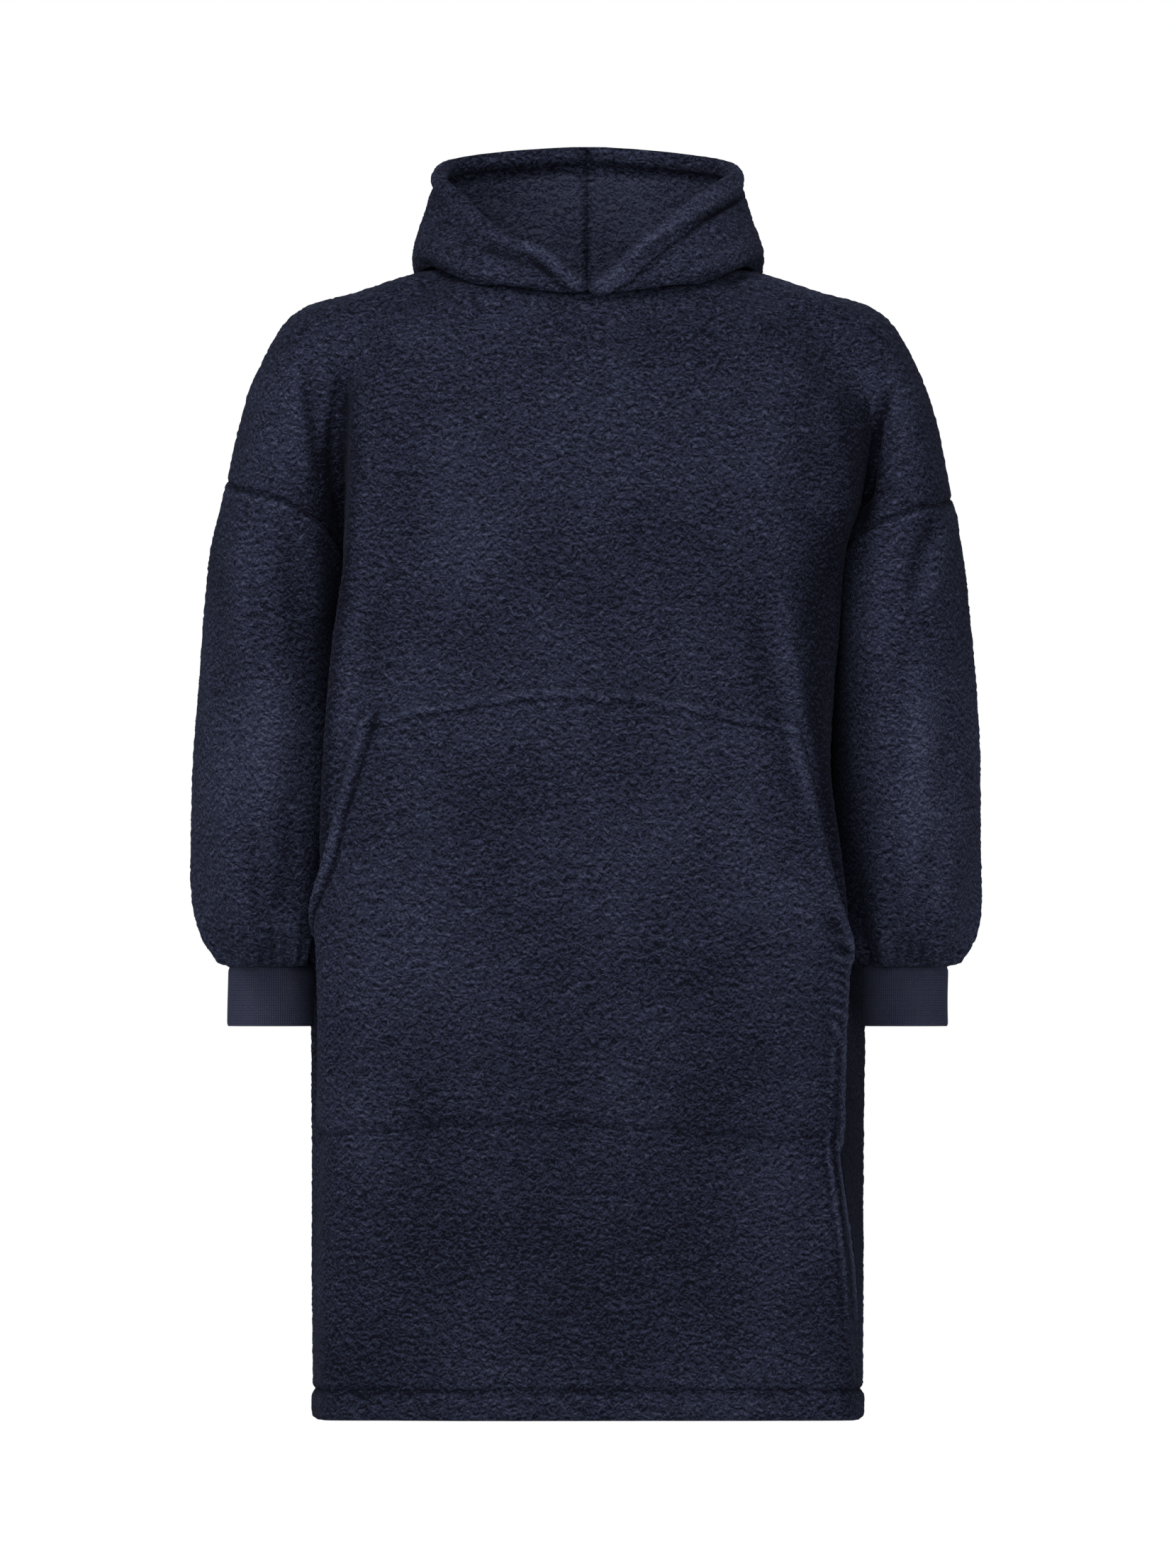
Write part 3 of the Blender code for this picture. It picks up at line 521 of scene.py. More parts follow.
UNDERARM_ROW = len(YOKE_LEFT)
LAST_ROW = UNDERARM_ROW + len(TRUNK_LEFT) - 1
# Stations from a side seam to the middle, and from the shoulder seam to the valley.
HALF_STATIONS = 4
ARM_STATIONS = 4
# Stations of the neckline, from the front middle to the back middle.
FRONT_VALLEY, NECK_SEAM, BACK_VALLEY, BACK_MIDDLE = 4, 8, 12, 16
LEVEL_SAMPLES = 400
LENGTH_SAMPLES = 801
BODY_NETS = {face: body_net(face) for face in (-1, 1)}
ARM_NETS = {(side, face): arm_net(side, face) for side in (-1, 1) for face in (-1, 1)}
SLEEVE_NETS = {side: sleeve_net(side) for side in (-1, 1)}


def unit(vectors):
    return vectors / np.maximum(np.linalg.norm(vectors, axis=-1, keepdims=True), 1e-9)


def surface(net, row, column, turn):
    """Points and outward normals of a net. turn is +1 or -1, whichever makes the normals face out."""
    row, column = np.broadcast_arrays(np.asarray(row, float), np.asarray(column, float))
    step = 0.01
    last_row, last_column = net.shape[0] - 3, net.shape[1] - 3
    r0, r1 = np.clip(row - step, 0, last_row), np.clip(row + step, 0, last_row)
    c0, c1 = np.clip(column - step, 0, last_column), np.clip(column + step, 0, last_column)
    down = on_net(net, r1, column) - on_net(net, r0, column)
    along = on_net(net, row, c1) - on_net(net, row, c0)
    return on_net(net, row, column), unit(turn * np.cross(along, down))


def along_table(z, table):
    """A table's share at levels z, with its corners smoothed."""
    levels, shares = [-level for level, _ in table], [share for _, share in table]
    return sum(np.interp(-z + step, levels, shares) for step in MOUTH_SMOOTHING) / len(MOUTH_SMOOTHING)


def row_at(z):
    """Row of the body net whose level is z, below the underarm."""
    rows = np.linspace(UNDERARM_ROW, LAST_ROW, LEVEL_SAMPLES)
    levels = on_net(BODY_NETS[-1], rows, HALF_STATIONS)[:, 2]
    return np.interp(-np.asarray(z, float), -levels, rows)


def body_point(face, row, across):
    """Panel surface at a row and a share across, -1 at the left side seam and 1 at the right."""
    return surface(BODY_NETS[face], row, HALF_STATIONS * (1 + np.asarray(across, float)), face)


def arm_point(side, face, row, share):
    """Dropped shoulder at a row, share 0 at the shoulder seam and 1 at the valley."""
    return surface(ARM_NETS[side, face], row, ARM_STATIONS * np.asarray(share, float), -side * face)


def rim_edges(quads):
    """Edges that only one face has, in that face's direction."""
    edges = np.concatenate([quads[:, [k, (k + 1) % 4]] for k in range(4)])
    keys = np.sort(edges, axis=1)
    _, index, count = np.unique(keys, axis=0, return_inverse=True, return_counts=True)
    return edges[count[index.reshape(-1)] == 1]


def ease(share):
    share = np.clip(share, 0, 1)
    return share * share * (3 - 2 * share)


def fade(value, ramp):
    """0 where a ramp starts and 1 where it ends, eased."""
    start, length_of_rise = ramp
    return ease((value - start) / length_of_rise)


def neck_point(side, station, row):
    """Panel point and normal at a station of the neckline, 0 at the front middle and 16 at the back."""
    if station <= FRONT_VALLEY:
        return body_point(-1, row, side * station / HALF_STATIONS)
    if station <= NECK_SEAM:
        return arm_point(side, -1, row, (NECK_SEAM - station) / ARM_STATIONS)
    if station <= BACK_VALLEY:
        return arm_point(side, 1, row, (station - NECK_SEAM) / ARM_STATIONS)
    return body_point(1, row, side * (BACK_MIDDLE - station) / HALF_STATIONS)


def hood_line(side, station):
    """Six points up a hood section: seam, two on the folded layer, low point, wide point and hem."""
    place = np.interp(station, [s.station for s in HOOD], np.arange(len(HOOD)))
    net = []
    for s in HOOD:
        hem = (s.left_out, s.left_fwd, s.left_z) if side < 0 else (s.right_out, s.right_fwd, s.right_z)
        net.append(
            [
                [s.lie, 0, 0],
                at(side, s.low_out, s.low_fwd, s.low_z),
                at(side, s.wide_out, s.wide_fwd, s.wide_z),
                at(side, *hem),
            ]
        )
    net = np.array(net)
    mirrored = np.array([-1, 1, 1])
    net = np.concatenate([[net[1] * mirrored], net, [net[-2] * mirrored]])
    net[[0, -1], 0] *= mirrored
    i = min(int(place), len(HOOD) - 2)
    drop, low, wide, hem = np.tensordot(weights(np.float64(place - i)), net[i : i + 4], axes=1)
    line = []
    for share, clear in ((0, SEAM_GAP), (0.5, HOOD_HALFWAY * HOOD_CLEARANCE), (1, HOOD_CLEARANCE)):
        lying, outward = neck_point(side, station, share * max(drop[0], HOOD_LEAST_LIE))
        line.append(lying + outward * clear)
    return np.array(line + [low, wide, hem])


def distance_to_rim(points, rim):
    """Distance of each point from the nearest of the rim's points."""
    tree = KDTree(len(rim))
    for number, corner in enumerate(rim):
        tree.insert(corner, number)
    tree.balance()
    return np.array([tree.find(p)[2] for p in points])


# Directions for the noise, drawn once from a fixed seed, and factors that scatter cells and seeds over them.
DIRECTIONS = unit(np.random.default_rng(41).normal(size=(256, 3)))
SCATTER = (73856093, 19349663, 83492791, 2654435761)
SCATTER_AGAIN = 1274126177
NOISE_HIGH = 1.7


def noise(points, seed):
    """Smooth noise, about -1 to 1, at points given in cells."""
    cell = np.floor(points).astype(np.int64)
    inside = points - cell
    fading = inside**3 * (inside * (inside * 6 - 15) + 10)
    total = np.zeros(points.shape[:-1])
    for corner in np.ndindex(2, 2, 2):
        corner = np.array(corner)
        x, y, z = np.moveaxis(cell + corner, -1, 0)
        mixed = (x * SCATTER[0]) ^ (y * SCATTER[1]) ^ (z * SCATTER[2]) ^ (seed * SCATTER[3])
        mixed = (mixed ^ (mixed >> 13)) * SCATTER_AGAIN
        number = (mixed ^ (mixed >> 16)) & (len(DIRECTIONS) - 1)
        share = np.where(corner, fading, 1 - fading).prod(axis=-1)
        total += share * (DIRECTIONS[number] * (inside - corner)).sum(axis=-1)
    return total * NOISE_HIGH


# Bends of the clumps: how many to a clump, and how far they go. Small curls to a clump, and both heights.
BENDS = 0.55
BEND_FAR = 0.6
SMALL_CURLS = 1.7
CLUMP_HIGH = 0.9
SMALL_HIGH = 0.6


def curls(points, sizes):
    """Height of the pile at points in mm: 0 in the creases between clumps of curls, 1 on their tops."""
    cells = points / np.array([sizes.clump_wide, sizes.clump_wide, sizes.clump_high])
    bend = np.stack([noise(cells * BENDS, k) for k in (11, 12, 13)], axis=-1)
    cells = cells + BEND_FAR * bend
    clumps = np.abs(noise(cells, 1)) ** 0.7
    small = np.abs(noise(cells * SMALL_CURLS, 2)) ** 0.8
    return np.clip(CLUMP_HIGH * clumps + SMALL_HIGH * small, 0, 1)


def line_distance(out, z, line):
    """Distance from a line, and how far along it as a share, for each point."""
    line = np.array(line, float)
    lengths = np.linalg.norm(np.diff(line, axis=0), axis=1)
    before = np.concatenate([[0], np.cumsum(lengths)])
    best, along = np.full(out.shape, 1e9), np.zeros(out.shape)
    for start, end, length, passed in zip(line[:-1], line[1:], lengths, before):
        way = (end - start) / length
        share = np.clip((out - start[0]) * way[0] + (z - start[1]) * way[1], 0, length)
        apart = np.hypot(out - start[0] - share * way[0], z - start[1] - share * way[1])
        nearer = apart < best
        best[nearer] = apart[nearer]
        along[nearer] = (passed + share[nearer]) / before[-1]
    return best, along


def beside(distance, place, wide=STITCH_WIDE):
    """Closeness, 1 to 0, to a line of stitches or a crease at a place."""
    return np.exp(-(((distance - place) / wide) ** 2))


def fold_shift(name, points, normals):
    """How far each point goes in for the folds of its piece, in mm, and the shadow in narrow creases."""
    shift = np.zeros(points.shape[:-1])
    shadow = np.zeros(points.shape[:-1])
    for (part, face), folds in FOLDS.items():
        if part not in FOLDS_ON.get(name, (name,)):
            continue
        facing = fade(normals[..., 1] * face, FOLD_FACING)
        for fold in folds:
            near, along = line_distance(points[..., 0], points[..., 2], fold.line)
            ends = fade(np.minimum(along, 1 - along), FOLD_ENDS)
            crease = fold.deep * ends * facing * beside(near, 0, fold.wide)
            shift += crease
            shadow += crease * min(CREASE_SHADOW / fold.wide, CREASE_DARKEST)
    return shift, shadow


# Unevenness of hanging cloth, broad and finer: width, length, height and seed.
DRAPES = ((95.0, 210.0, 3.6, 21), (38.0, 70.0, 1.5, 22))


def drape(points):
    """Soft unevenness of hanging cloth, in mm."""
    return sum(high * noise(points / (wide, wide, long), seed) for wide, long, high, seed in DRAPES)


# A sheet before it is sewn: its outer face in mm, the wall behind it, its lines of stitches, how freely it
# hangs, where the pile is in shadow, which coarse cells are cloth, whether it closes round a tube, and its
# fine faces to each inner one.
Cloth = namedtuple(
    "Cloth", "points normals wall stitch soft shadow mask closed step", defaults=(None, False, INNER_STEP)
)


def cell_mask(cloth):
    """Which of the grid's coarse cells are cloth."""
    rows = (cloth.points.shape[0] - 1) // cloth.step
    columns = (cloth.points.shape[1] - (0 if cloth.closed else 1)) // cloth.step
    return np.ones((rows, columns), bool) if cloth.mask is None else cloth.mask


def grid_quads(numbers, closed, mask):
    """Corner numbers of the faces of a grid of point numbers."""
    if closed:
        numbers = np.concatenate([numbers, numbers[:, :1]], axis=1)
    quads = np.stack([numbers[:-1, :-1], numbers[:-1, 1:], numbers[1:, 1:], numbers[1:, :-1]], axis=-1)
    return quads[mask]


def fine_chain(a, b, columns, step, closed):
    """Point numbers on the fine grid from one coarse corner to the next."""
    (row, column), (end_row, end_column) = divmod(a, columns), divmod(b, columns)
    down = np.sign(end_row - row)
    over = end_column - column
    if closed and abs(over) > step:
        over = -over
    over = np.sign(over)
    return [
        int((row + down * k) * columns + (column + over * k) % columns) for k in range(step + 1)
    ]


def off_underarms(points):
    """0 at the underarm points, where three pieces meet at an angle, and 1 well away from them."""
    nearest = np.min([np.linalg.norm(points - underarm(side), axis=-1) for side in (-1, 1)], axis=0)
    return fade(nearest, UNDERARM_RAMP)


# Material and slot of each cloth.
FLEECE = ("teddy_fleece_pile", "teddy_fleece")
RIB = ("rib_knit_loops", "rib_knit")
SIDES = (("left", -1), ("right", 1))


def renumber(used, count, first):
    """Numbers from first on for the used points of a grid, and -1 for the others."""
    numbers = np.full(count, -1)
    numbers[used] = first + np.arange(len(used))
    return numbers


def sew_piece(node, cloth, kind=FLEECE, pile=1.0, inside_pile=False):
    """One sheet of cloth: a fine outer face, an inner face, rounded rims, folds and pile."""
    sizes = bpy.context.scene.hoodie_sizes
    material_name, slot_name = kind
    shape = cloth.points.shape[:2]
    numbers = np.arange(shape[0] * shape[1]).reshape(shape)
    mask = cell_mask(cloth)
    step = cloth.step
    coarse = grid_quads(numbers[::step, ::step], cloth.closed, mask)
    fine_mask = mask.repeat(step, axis=0).repeat(step, axis=1)
    fine = grid_quads(numbers, cloth.closed, fine_mask)
    rim = rim_edges(coarse)
    chains = [fine_chain(a, b, shape[1], step, cloth.closed) for a, b in rim]
    flat = cloth.points.reshape(-1, 3)
    normals = cloth.normals.reshape(-1, 3)
    wall = np.broadcast_to(cloth.wall, shape).reshape(-1)
    used = np.unique(fine)
    to_rim = np.full(len(flat), FAR_FROM_RIM)
    to_rim[used] = distance_to_rim(flat[used], flat[np.unique(np.concatenate(chains))])
    near = np.clip(1 - to_rim / EDGE_ROUND, 0, 1)
    sink = EDGE_SINK * wall * (1 - np.sqrt(1 - near**2)) * off_underarms(flat)
    stitch = cloth.stitch.reshape(-1)
    soft = np.broadcast_to(cloth.soft, shape).reshape(-1)
    folded, shadow = fold_shift(node, flat, normals)
    shadow = shadow + STITCH_SHADOW * stitch + cloth.shadow.reshape(-1)
    shift = drape(flat) * soft - folded * pile
    drawn_in = sizes.stitch_depth / MM * stitch
    shift -= sink + drawn_in
    deep = sizes.pile_height / MM * pile * (1 - RIM_PRESSED * near) * (1 - STITCH_PRESSED * stitch)
    height = curls(flat, sizes)
    outer = flat + normals * (shift + deep * (height - 0.5))[:, None]
    under = flat + normals * (shift + drawn_in + 2 * sink - wall)[:, None]
    if inside_pile:
        behind = curls(flat + BEHIND_SHIFT, sizes)
        from_middle = np.abs(flat[:, 0])
        ridge = RIDGE_HIGH * beside(from_middle, RIDGE_PLACE, RIDGE_WIDE) * fade(flat[:, 1], RIDGE_BACK)
        under -= normals * (deep * (behind - 0.5) - drawn_in + ridge)[:, None]
        inside = STITCH_SHADOW * stitch + CENTRE_SHADOW * fade(from_middle, CENTRE_GROOVE)
        # Painted light on the hood's inside, except in its hem band.
        inside = inside - INSIDE_PAINTED_LIGHT * (1 - fade(wall, HEM_PILE))
    else:
        behind = np.full(len(flat), 0.5)
        inside = np.zeros(len(flat))
    inner_used = np.unique(coarse)
    outer_number = renumber(used, len(flat), 0)
    inner_number = renumber(inner_used, len(flat), len(used))
    faces = outer_number[fine].tolist() + inner_number[coarse[:, ::-1]].tolist()
    for (a, b), chain in zip(rim, chains):
        faces.append(outer_number[chain[::-1]].tolist() + inner_number[[a, b]].tolist())
    points = np.concatenate([outer[used], under[inner_used]])
    piece = mesh_piece(f"{node}_cloth", points, faces, material_name)
    layers = {"pile": (height, behind), "shadow": (shadow, inside)}
    for name, (over, beneath) in layers.items():
        attribute = piece.data.attributes.new(name, "FLOAT", "POINT")
        values = np.concatenate([over[used], beneath[inner_used]])
        attribute.data.foreach_set("value", values.astype(np.float32))
    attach(piece, "root")
    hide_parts(node)
    return piece


def mesh_piece(name, points, faces, material_name):
    """A smooth mesh object from points in mm."""
    mesh = bpy.data.meshes.new(name)
    mesh.from_pydata((points * MM).tolist(), [], faces)
    mesh.validate()
    mesh.shade_smooth()
    mesh.materials.append(bpy.data.materials[material_name])
    piece = bpy.data.objects.new(name, mesh)
    bpy.context.scene.collection.objects.link(piece)
    return piece


def even_places(place_of, count):
    """Places from 0 to 1 with even lengths of cloth between them."""
    places = np.linspace(0, 1, LENGTH_SAMPLES)
    steps = np.linalg.norm(np.diff(place_of(places), axis=0), axis=1)
    length = np.concatenate([[0], np.cumsum(steps)])
    return np.interp(np.linspace(0, length[-1], count + 1), length, places)


def lengths_along(points, axis):
    """Length of cloth from the first row or column of a grid to each of its points."""
    steps = np.linalg.norm(np.diff(points, axis=axis), axis=-1)
    first = np.zeros_like(np.take(steps, [0], axis=axis))
    return np.concatenate([first, np.cumsum(steps, axis=axis)], axis=axis)


def roll(distance, wide, high):
    """Height of a rounded band of cloth from an edge to its stitches, in mm."""
    return high * np.sin(np.pi * np.clip(distance / wide, 0, 1)) ** 0.7


# Fine columns from the middle of a panel to its side seam, between the stations of its net.
BODY_COLUMNS = (28, 28, 16, 24)
ARM_COLUMNS = 40
YOKE_ROWS = 20
TRUNK_ROWS = 304
VALLEY_BLEND = 6
VALLEY_DOWN = (0, 0, -0.25)
HEM_PUFF = 1.4

# Painted shade in the gap between arm and body: its place out, its top, its end, and how far its faces turn
# away.
GAP_OUT = (250, -20)
GAP_TOP = (-70, -50)
GAP_END = (-640, 60)
GAP_TURN = (0.45, 0.4)
# Painted shade on the strip of the back that shows past the front, and painted shade darkening each panel
# towards the bottom.
STRIP_OUT = (200, 10)
STRIP_TOP = (-530, -40)
STRIP_END = (-890, 80)
STRIP_SHADOW = 1.4
LOW_SHADOW = 0.2
LOW_PART = (-690, -160)
# Layers of the right side seam: how far in from it, and how dark their painted shade is, negative for a
# painted highlight.
SIDE_LAYERS = ((1.0, -1.6), (10.0, -1.6), (5.5, 1.44), (13.5, 0.8))
LAYERS_WIDE = 40.0
LAYERS_TOP = (-530, -30)
LAYERS_END = (-890, 60)
LAYERS_SWAY = 0.8
LAYERS_CELL = 5.0
# Where the body hangs freely: not at its side seams, nor under the hood and over the arms.
LOOSE_OUT = (206, -46)
LOOSE_TOP = (-70, -60)


def panel_grid(face):
    """Points, normals and coarse mask of a panel, as one grid without the places beside the body."""
    shares = [np.linspace(k / 4, (k + 1) / 4, n + 1)[1:] for k, n in enumerate(BODY_COLUMNS)]
    half = np.concatenate([[0], *shares])
    across = np.concatenate([-half[:0:-1], half])
    yoke = np.linspace(0, UNDERARM_ROW, UNDERARM_ROW * YOKE_ROWS + 1)
    levels = np.linspace(TRUNK_LEFT[0].z, TRUNK_LEFT[-1].z, TRUNK_ROWS + 1)[1:]
    rows = np.concatenate([yoke, row_at(levels)])
    middle, middle_normals = body_point(face, rows[:, None], across[None, :])
    arm = np.linspace(0, 1, ARM_COLUMNS + 1)
    points = np.zeros((len(rows), len(across) + 2 * ARM_COLUMNS, 3))
    normals = np.zeros_like(points)
    normals[..., 1] = face
    points[:, ARM_COLUMNS:-ARM_COLUMNS] = middle
    normals[:, ARM_COLUMNS:-ARM_COLUMNS] = middle_normals
    down = slice(0, len(yoke))
    valley = {}
    for side in (-1, 1):
        arm_points, arm_normals = arm_point(side, face, yoke[:, None], arm[None, :])
        order = slice(None) if side < 0 else slice(None, None, -1)
        places = slice(0, ARM_COLUMNS) if side < 0 else slice(len(points[0]) - ARM_COLUMNS, None)
        points[down, places] = arm_points[:, :-1][:, order]
        normals[down, places] = arm_normals[:, :-1][:, order]
        column = ARM_COLUMNS if side < 0 else len(points[0]) - 1 - ARM_COLUMNS
        valley[column] = unit(normals[down, column] + arm_normals[:, -1] + VALLEY_DOWN)
    for column, shared in valley.items():
        for step in range(-VALLEY_BLEND, VALLEY_BLEND + 1):
            share = ease(1 - abs(step) / (VALLEY_BLEND + 1))
            own = normals[down, column + step]
            normals[down, column + step] = unit(own + (shared - own) * share)
    mask = np.ones(((len(rows) - 1) // INNER_STEP, (len(points[0]) - 1) // INNER_STEP), bool)
    mask[(len(yoke) - 1) // INNER_STEP :, : ARM_COLUMNS // INNER_STEP] = False
    mask[(len(yoke) - 1) // INNER_STEP :, -(ARM_COLUMNS // INNER_STEP) :] = False
    return points, normals, mask


def panel_cloth(face):
    """Front or back panel with its dropped shoulders and its hem."""
    points, normals, mask = panel_grid(face)
    z = points[..., 2]
    hem = TRUNK_LEFT[-1].z
    wall = FLEECE_WALL + (HEM_WALL - FLEECE_WALL) * ease((hem + HEM_DEEP + HEM_STEP / 3 - z) / HEM_STEP)
    puff = roll(z - hem, HEM_DEEP, HEM_PUFF)
    points = points + normals * puff[..., None]
    stitch = beside(z, hem + HEM_DEEP)
    shadow = fade(np.abs(points[..., 0]), GAP_OUT) * fade(z, GAP_TOP) * fade(z, GAP_END)
    shadow = shadow * fade(np.abs(normals[..., 0]), GAP_TURN)
    if face > 0:
        strip = fade(points[..., 0], STRIP_OUT) * fade(z, STRIP_TOP) * fade(z, STRIP_END)
        shadow = np.maximum(shadow, STRIP_SHADOW * strip)
    else:
        shadow = shadow + side_layers(points)
    shadow = GAP_SHADOW * shadow + LOW_SHADOW * fade(z, LOW_PART)
    return Cloth(points, normals, wall + puff, stitch, body_softness(points), shadow, mask)


def side_layers(points):
    """Painted highlights on the edges and painted shade in the grooves of the layers that show at the right
    side seam below the sleeve.
    """
    z = points[..., 2]
    inner = points[..., 0].max(axis=1, keepdims=True) - points[..., 0]
    cells = np.stack([z / LAYERS_CELL, z * 0, z * 0 + 7], axis=-1)
    inner = inner + LAYERS_SWAY * noise(cells, 33)
    layers = sum(dark * beside(inner, place) for place, dark in SIDE_LAYERS)
    return layers * fade(z, LAYERS_TOP) * fade(z, LAYERS_END) * (inner < LAYERS_WIDE)


def body_softness(points):
    """How freely the body hangs."""
    return fade(np.abs(points[..., 0]), LOOSE_OUT) * fade(points[..., 2], LOOSE_TOP)


SLEEVE_COLUMNS = 144
SLEEVE_ROWS = 176
# Small pleats at the cuff: how many, how high, how far above the sleeve's end, how wide, and their start.
PUCKERS = 21
PUCKER_HIGH = 1.5
PUCKER_PLACE = 14.0
PUCKER_WIDE = 20.0
PUCKER_START = (0.0, 5.0)
# Pleats that the armhole seam draws in, how high they are and how far they reach.
SEAM_PLEATS = 17
SEAM_PLEAT_HIGH = 0.6
SEAM_PLEAT_FAR = 16.0
# How freely a sleeve hangs: at most, below its seam and above its end.
SLEEVE_LOOSE = 0.8
SLEEVE_LOOSE_TOP = (0.0, 40.0)
SLEEVE_LOOSE_END = (20.0, 60.0)
# Shadow toward the body, in the armhole seam and, negative for light, beside it and on the lower sleeve.
SLEEVE_TURN = (0.35, 0.4)
SLEEVE_END = (0.0, 60.0)
SLEEVE_GAP_SHARE = 0.35
SEAM_LINES = ((2.0, 0.8), (7.0, -0.4))
LOWER_SLEEVE = (-240, -220)
LOWER_SLEEVE_LIGHT = 0.4


def sleeve_cloth(side):
    """A sleeve as a tube, with its gathers over the cuff and fine pleats at both seams."""
    net = SLEEVE_NETS[side]
    last = len(SLEEVE_RINGS)
    rows = last * even_places(lambda share: on_net(net, share * last, 1.0), SLEEVE_ROWS)
    columns = np.linspace(0, ROUND, SLEEVE_COLUMNS + 1)[:-1]
    points, normals = surface(net, rows[:, None], columns[None, :], side)
    turns = np.broadcast_to(columns * 2 * np.pi / ROUND, points.shape[:2])
    z = points[..., 2]
    to_end = z - SLEEVE_RINGS[-1].outer_z
    grow = fade(z, GATHER_GROWS) * ease(to_end / GATHER_ENDS)
    wave = np.cos(GATHERS * turns + side * GATHER_TURN) * (1 + GATHER_UNEVEN * np.cos(turns * 2 + 1))
    pucker = beside(to_end, PUCKER_PLACE, PUCKER_WIDE) * fade(to_end, PUCKER_START)
    pucker = pucker * np.cos(PUCKERS * turns + 2 * np.cos(3 * turns + side))
    from_seam = lengths_along(points, 0)
    drawn = np.exp(-from_seam / SEAM_PLEAT_FAR) * np.cos(SEAM_PLEATS * turns + 1.5 * np.cos(4 * turns))
    move = GATHER_DEEP * grow * wave + PUCKER_HIGH * pucker + SEAM_PLEAT_HIGH * drawn
    points = points + normals * move[..., None]
    soft = SLEEVE_LOOSE * fade(from_seam, SLEEVE_LOOSE_TOP) * fade(to_end, SLEEVE_LOOSE_END)
    facing_body = fade(-side * normals[..., 0], SLEEVE_TURN) * fade(to_end, SLEEVE_END)
    shadow = SLEEVE_GAP_SHARE * GAP_SHADOW * facing_body - LOWER_SLEEVE_LIGHT * fade(z, LOWER_SLEEVE)
    shadow = shadow + sum(dark * beside(from_seam, place) for place, dark in SEAM_LINES)
    return Cloth(points, normals, FLEECE_WALL, np.zeros_like(z), soft, shadow, closed=True)


CUFF_RIBS = 120
COLUMNS_A_RIB = 6
CUFF_ROWS = 30
CUFF_TUCK = 5.0
CUFF_TUCKED_IN = 1.3
RIB_SWAY = 0.25
CUFF_SLACK = 0.5


def cuff_cloth(side):
    """Straight rib cuff, with a little unevenness in its ribs."""
    sizes = bpy.context.scene.hoodie_sizes
    turns = np.arange(CUFF_RIBS * COLUMNS_A_RIB) * 2 * np.pi / (CUFF_RIBS * COLUMNS_A_RIB)
    z = np.linspace(CUFF_TOP + CUFF_TUCK, CUFF_BOTTOM, CUFF_ROWS + 1)[:, None]
    middle, half = (CUFF_OUTER + CUFF_INNER) / 2, (CUFF_OUTER - CUFF_INNER) / 2
    sway = RIB_SWAY * np.sin(z / 9 + 3 * np.cos(2 * turns))
    rise = sizes.rib_height / MM * (0.5 + 0.5 * np.cos(CUFF_RIBS * turns + sway) - 1)
    slack = CUFF_SLACK * np.cos(3 * turns + z / 17 + side)
    slack = slack - CUFF_TUCKED_IN * ease((z - CUFF_TOP + 3) / CUFF_TUCK)
    out = middle + (half + rise + slack) * np.cos(turns)
    fwd = (CUFF_HALF_DEPTH + rise + slack) * np.sin(turns)
    points = np.stack([side * out, -fwd, np.broadcast_to(z, out.shape)], axis=-1)
    normals = np.zeros_like(points)
    normals[..., 0] = side * np.cos(turns)
    normals[..., 1] = -np.sin(turns)
    none = np.zeros_like(out)
    return Cloth(points, normals, RIB_WALL, none, none, none, closed=True, step=COLUMNS_A_RIB)


HOOD_COLUMNS = 112
HOOD_ROWS = 120
# The hood's turned edge: how far in its stitches are, how much farther on the right at the front, and how
# high it is rolled. On the left it lies flat there.
HOOD_STITCHES = 16.0
HOOD_WIDER = 6.0
HOOD_ROLL = 3.4
HOOD_FRONT = (45, -30)
HOOD_FLAT_OUT = (45, 35)
HOOD_FLAT = 0.85
HOOD_MIDDLE = (0, 12)
# How freely it hangs: at most, above its seam, below its edge and beside its middle.
HOOD_LOOSE = 0.5
HOOD_LOOSE_SEAM = (60, 40)
HOOD_LOOSE_EDGE = (0, 30)
HOOD_LOOSE_OUT = (0, 30)
# Shadow at the neckline, and light on the rolled edge.
NECKLINE = (12, -12)
HOOD_SHADOW = 0.6


def hood_cloth(side):
    """A hood half, from the neckline round its fold to the opening edge."""
    stations = np.linspace(0, BACK_MIDDLE, HOOD_COLUMNS + 1)
    lines = np.array([with_ends(hood_line(side, station)) for station in stations])
    last = lines.shape[1] - 3
    columns = []
    for line in lines:
        rows = last * even_places(lambda share: on_line(line, share * last), HOOD_ROWS)
        columns.append(on_line(line, rows))
    points = np.array(columns).transpose(1, 0, 2)
    points[:, [0, -1], 0] = 0
    along = np.gradient(points, axis=1)
    down = np.gradient(points, axis=0)
    along[:, [0, -1], 1:] = 0
    normals = unit(side * np.cross(along, down))
    to_hem = lengths_along(points[::-1], 0)[::-1]
    wall = FLEECE_WALL + (HEM_WALL - FLEECE_WALL) * ease((HEM_DEEP - to_hem) / HEM_STEP)
    from_neck = lengths_along(points, 0)
    out, front = np.abs(points[..., 0]), fade(points[..., 1], HOOD_FRONT)
    soft = fade(from_neck, HOOD_LOOSE_SEAM) * fade(to_hem, HOOD_LOOSE_EDGE) * fade(out, HOOD_LOOSE_OUT)
    standing = 1 - HOOD_FLAT * front * fade(out, HOOD_FLAT_OUT) * (side < 0)
    rolled = fade(out, HOOD_MIDDLE) * standing
    stitches = HOOD_STITCHES + HOOD_WIDER * front * (side > 0)
    rise = roll(to_hem, stitches, 1.0) * rolled
    points = points + normals * (HOOD_ROLL * rise)[..., None]
    stitch = beside(to_hem, stitches) * standing
    shadow = HOOD_SHADOW * (fade(from_neck, NECKLINE) - rise)
    wall = wall + 2 * HOOD_ROLL * rise
    return Cloth(points, normals, wall, stitch, HOOD_LOOSE * soft, shadow, step=1)


def on_line(line, places):
    """Points of the smooth line through control points with a spare one at each end."""
    i = np.clip(places.astype(int), 0, len(line) - 4)
    shares = weights(places - i)
    return sum(shares[m][:, None] * line[i + m] for m in range(4))


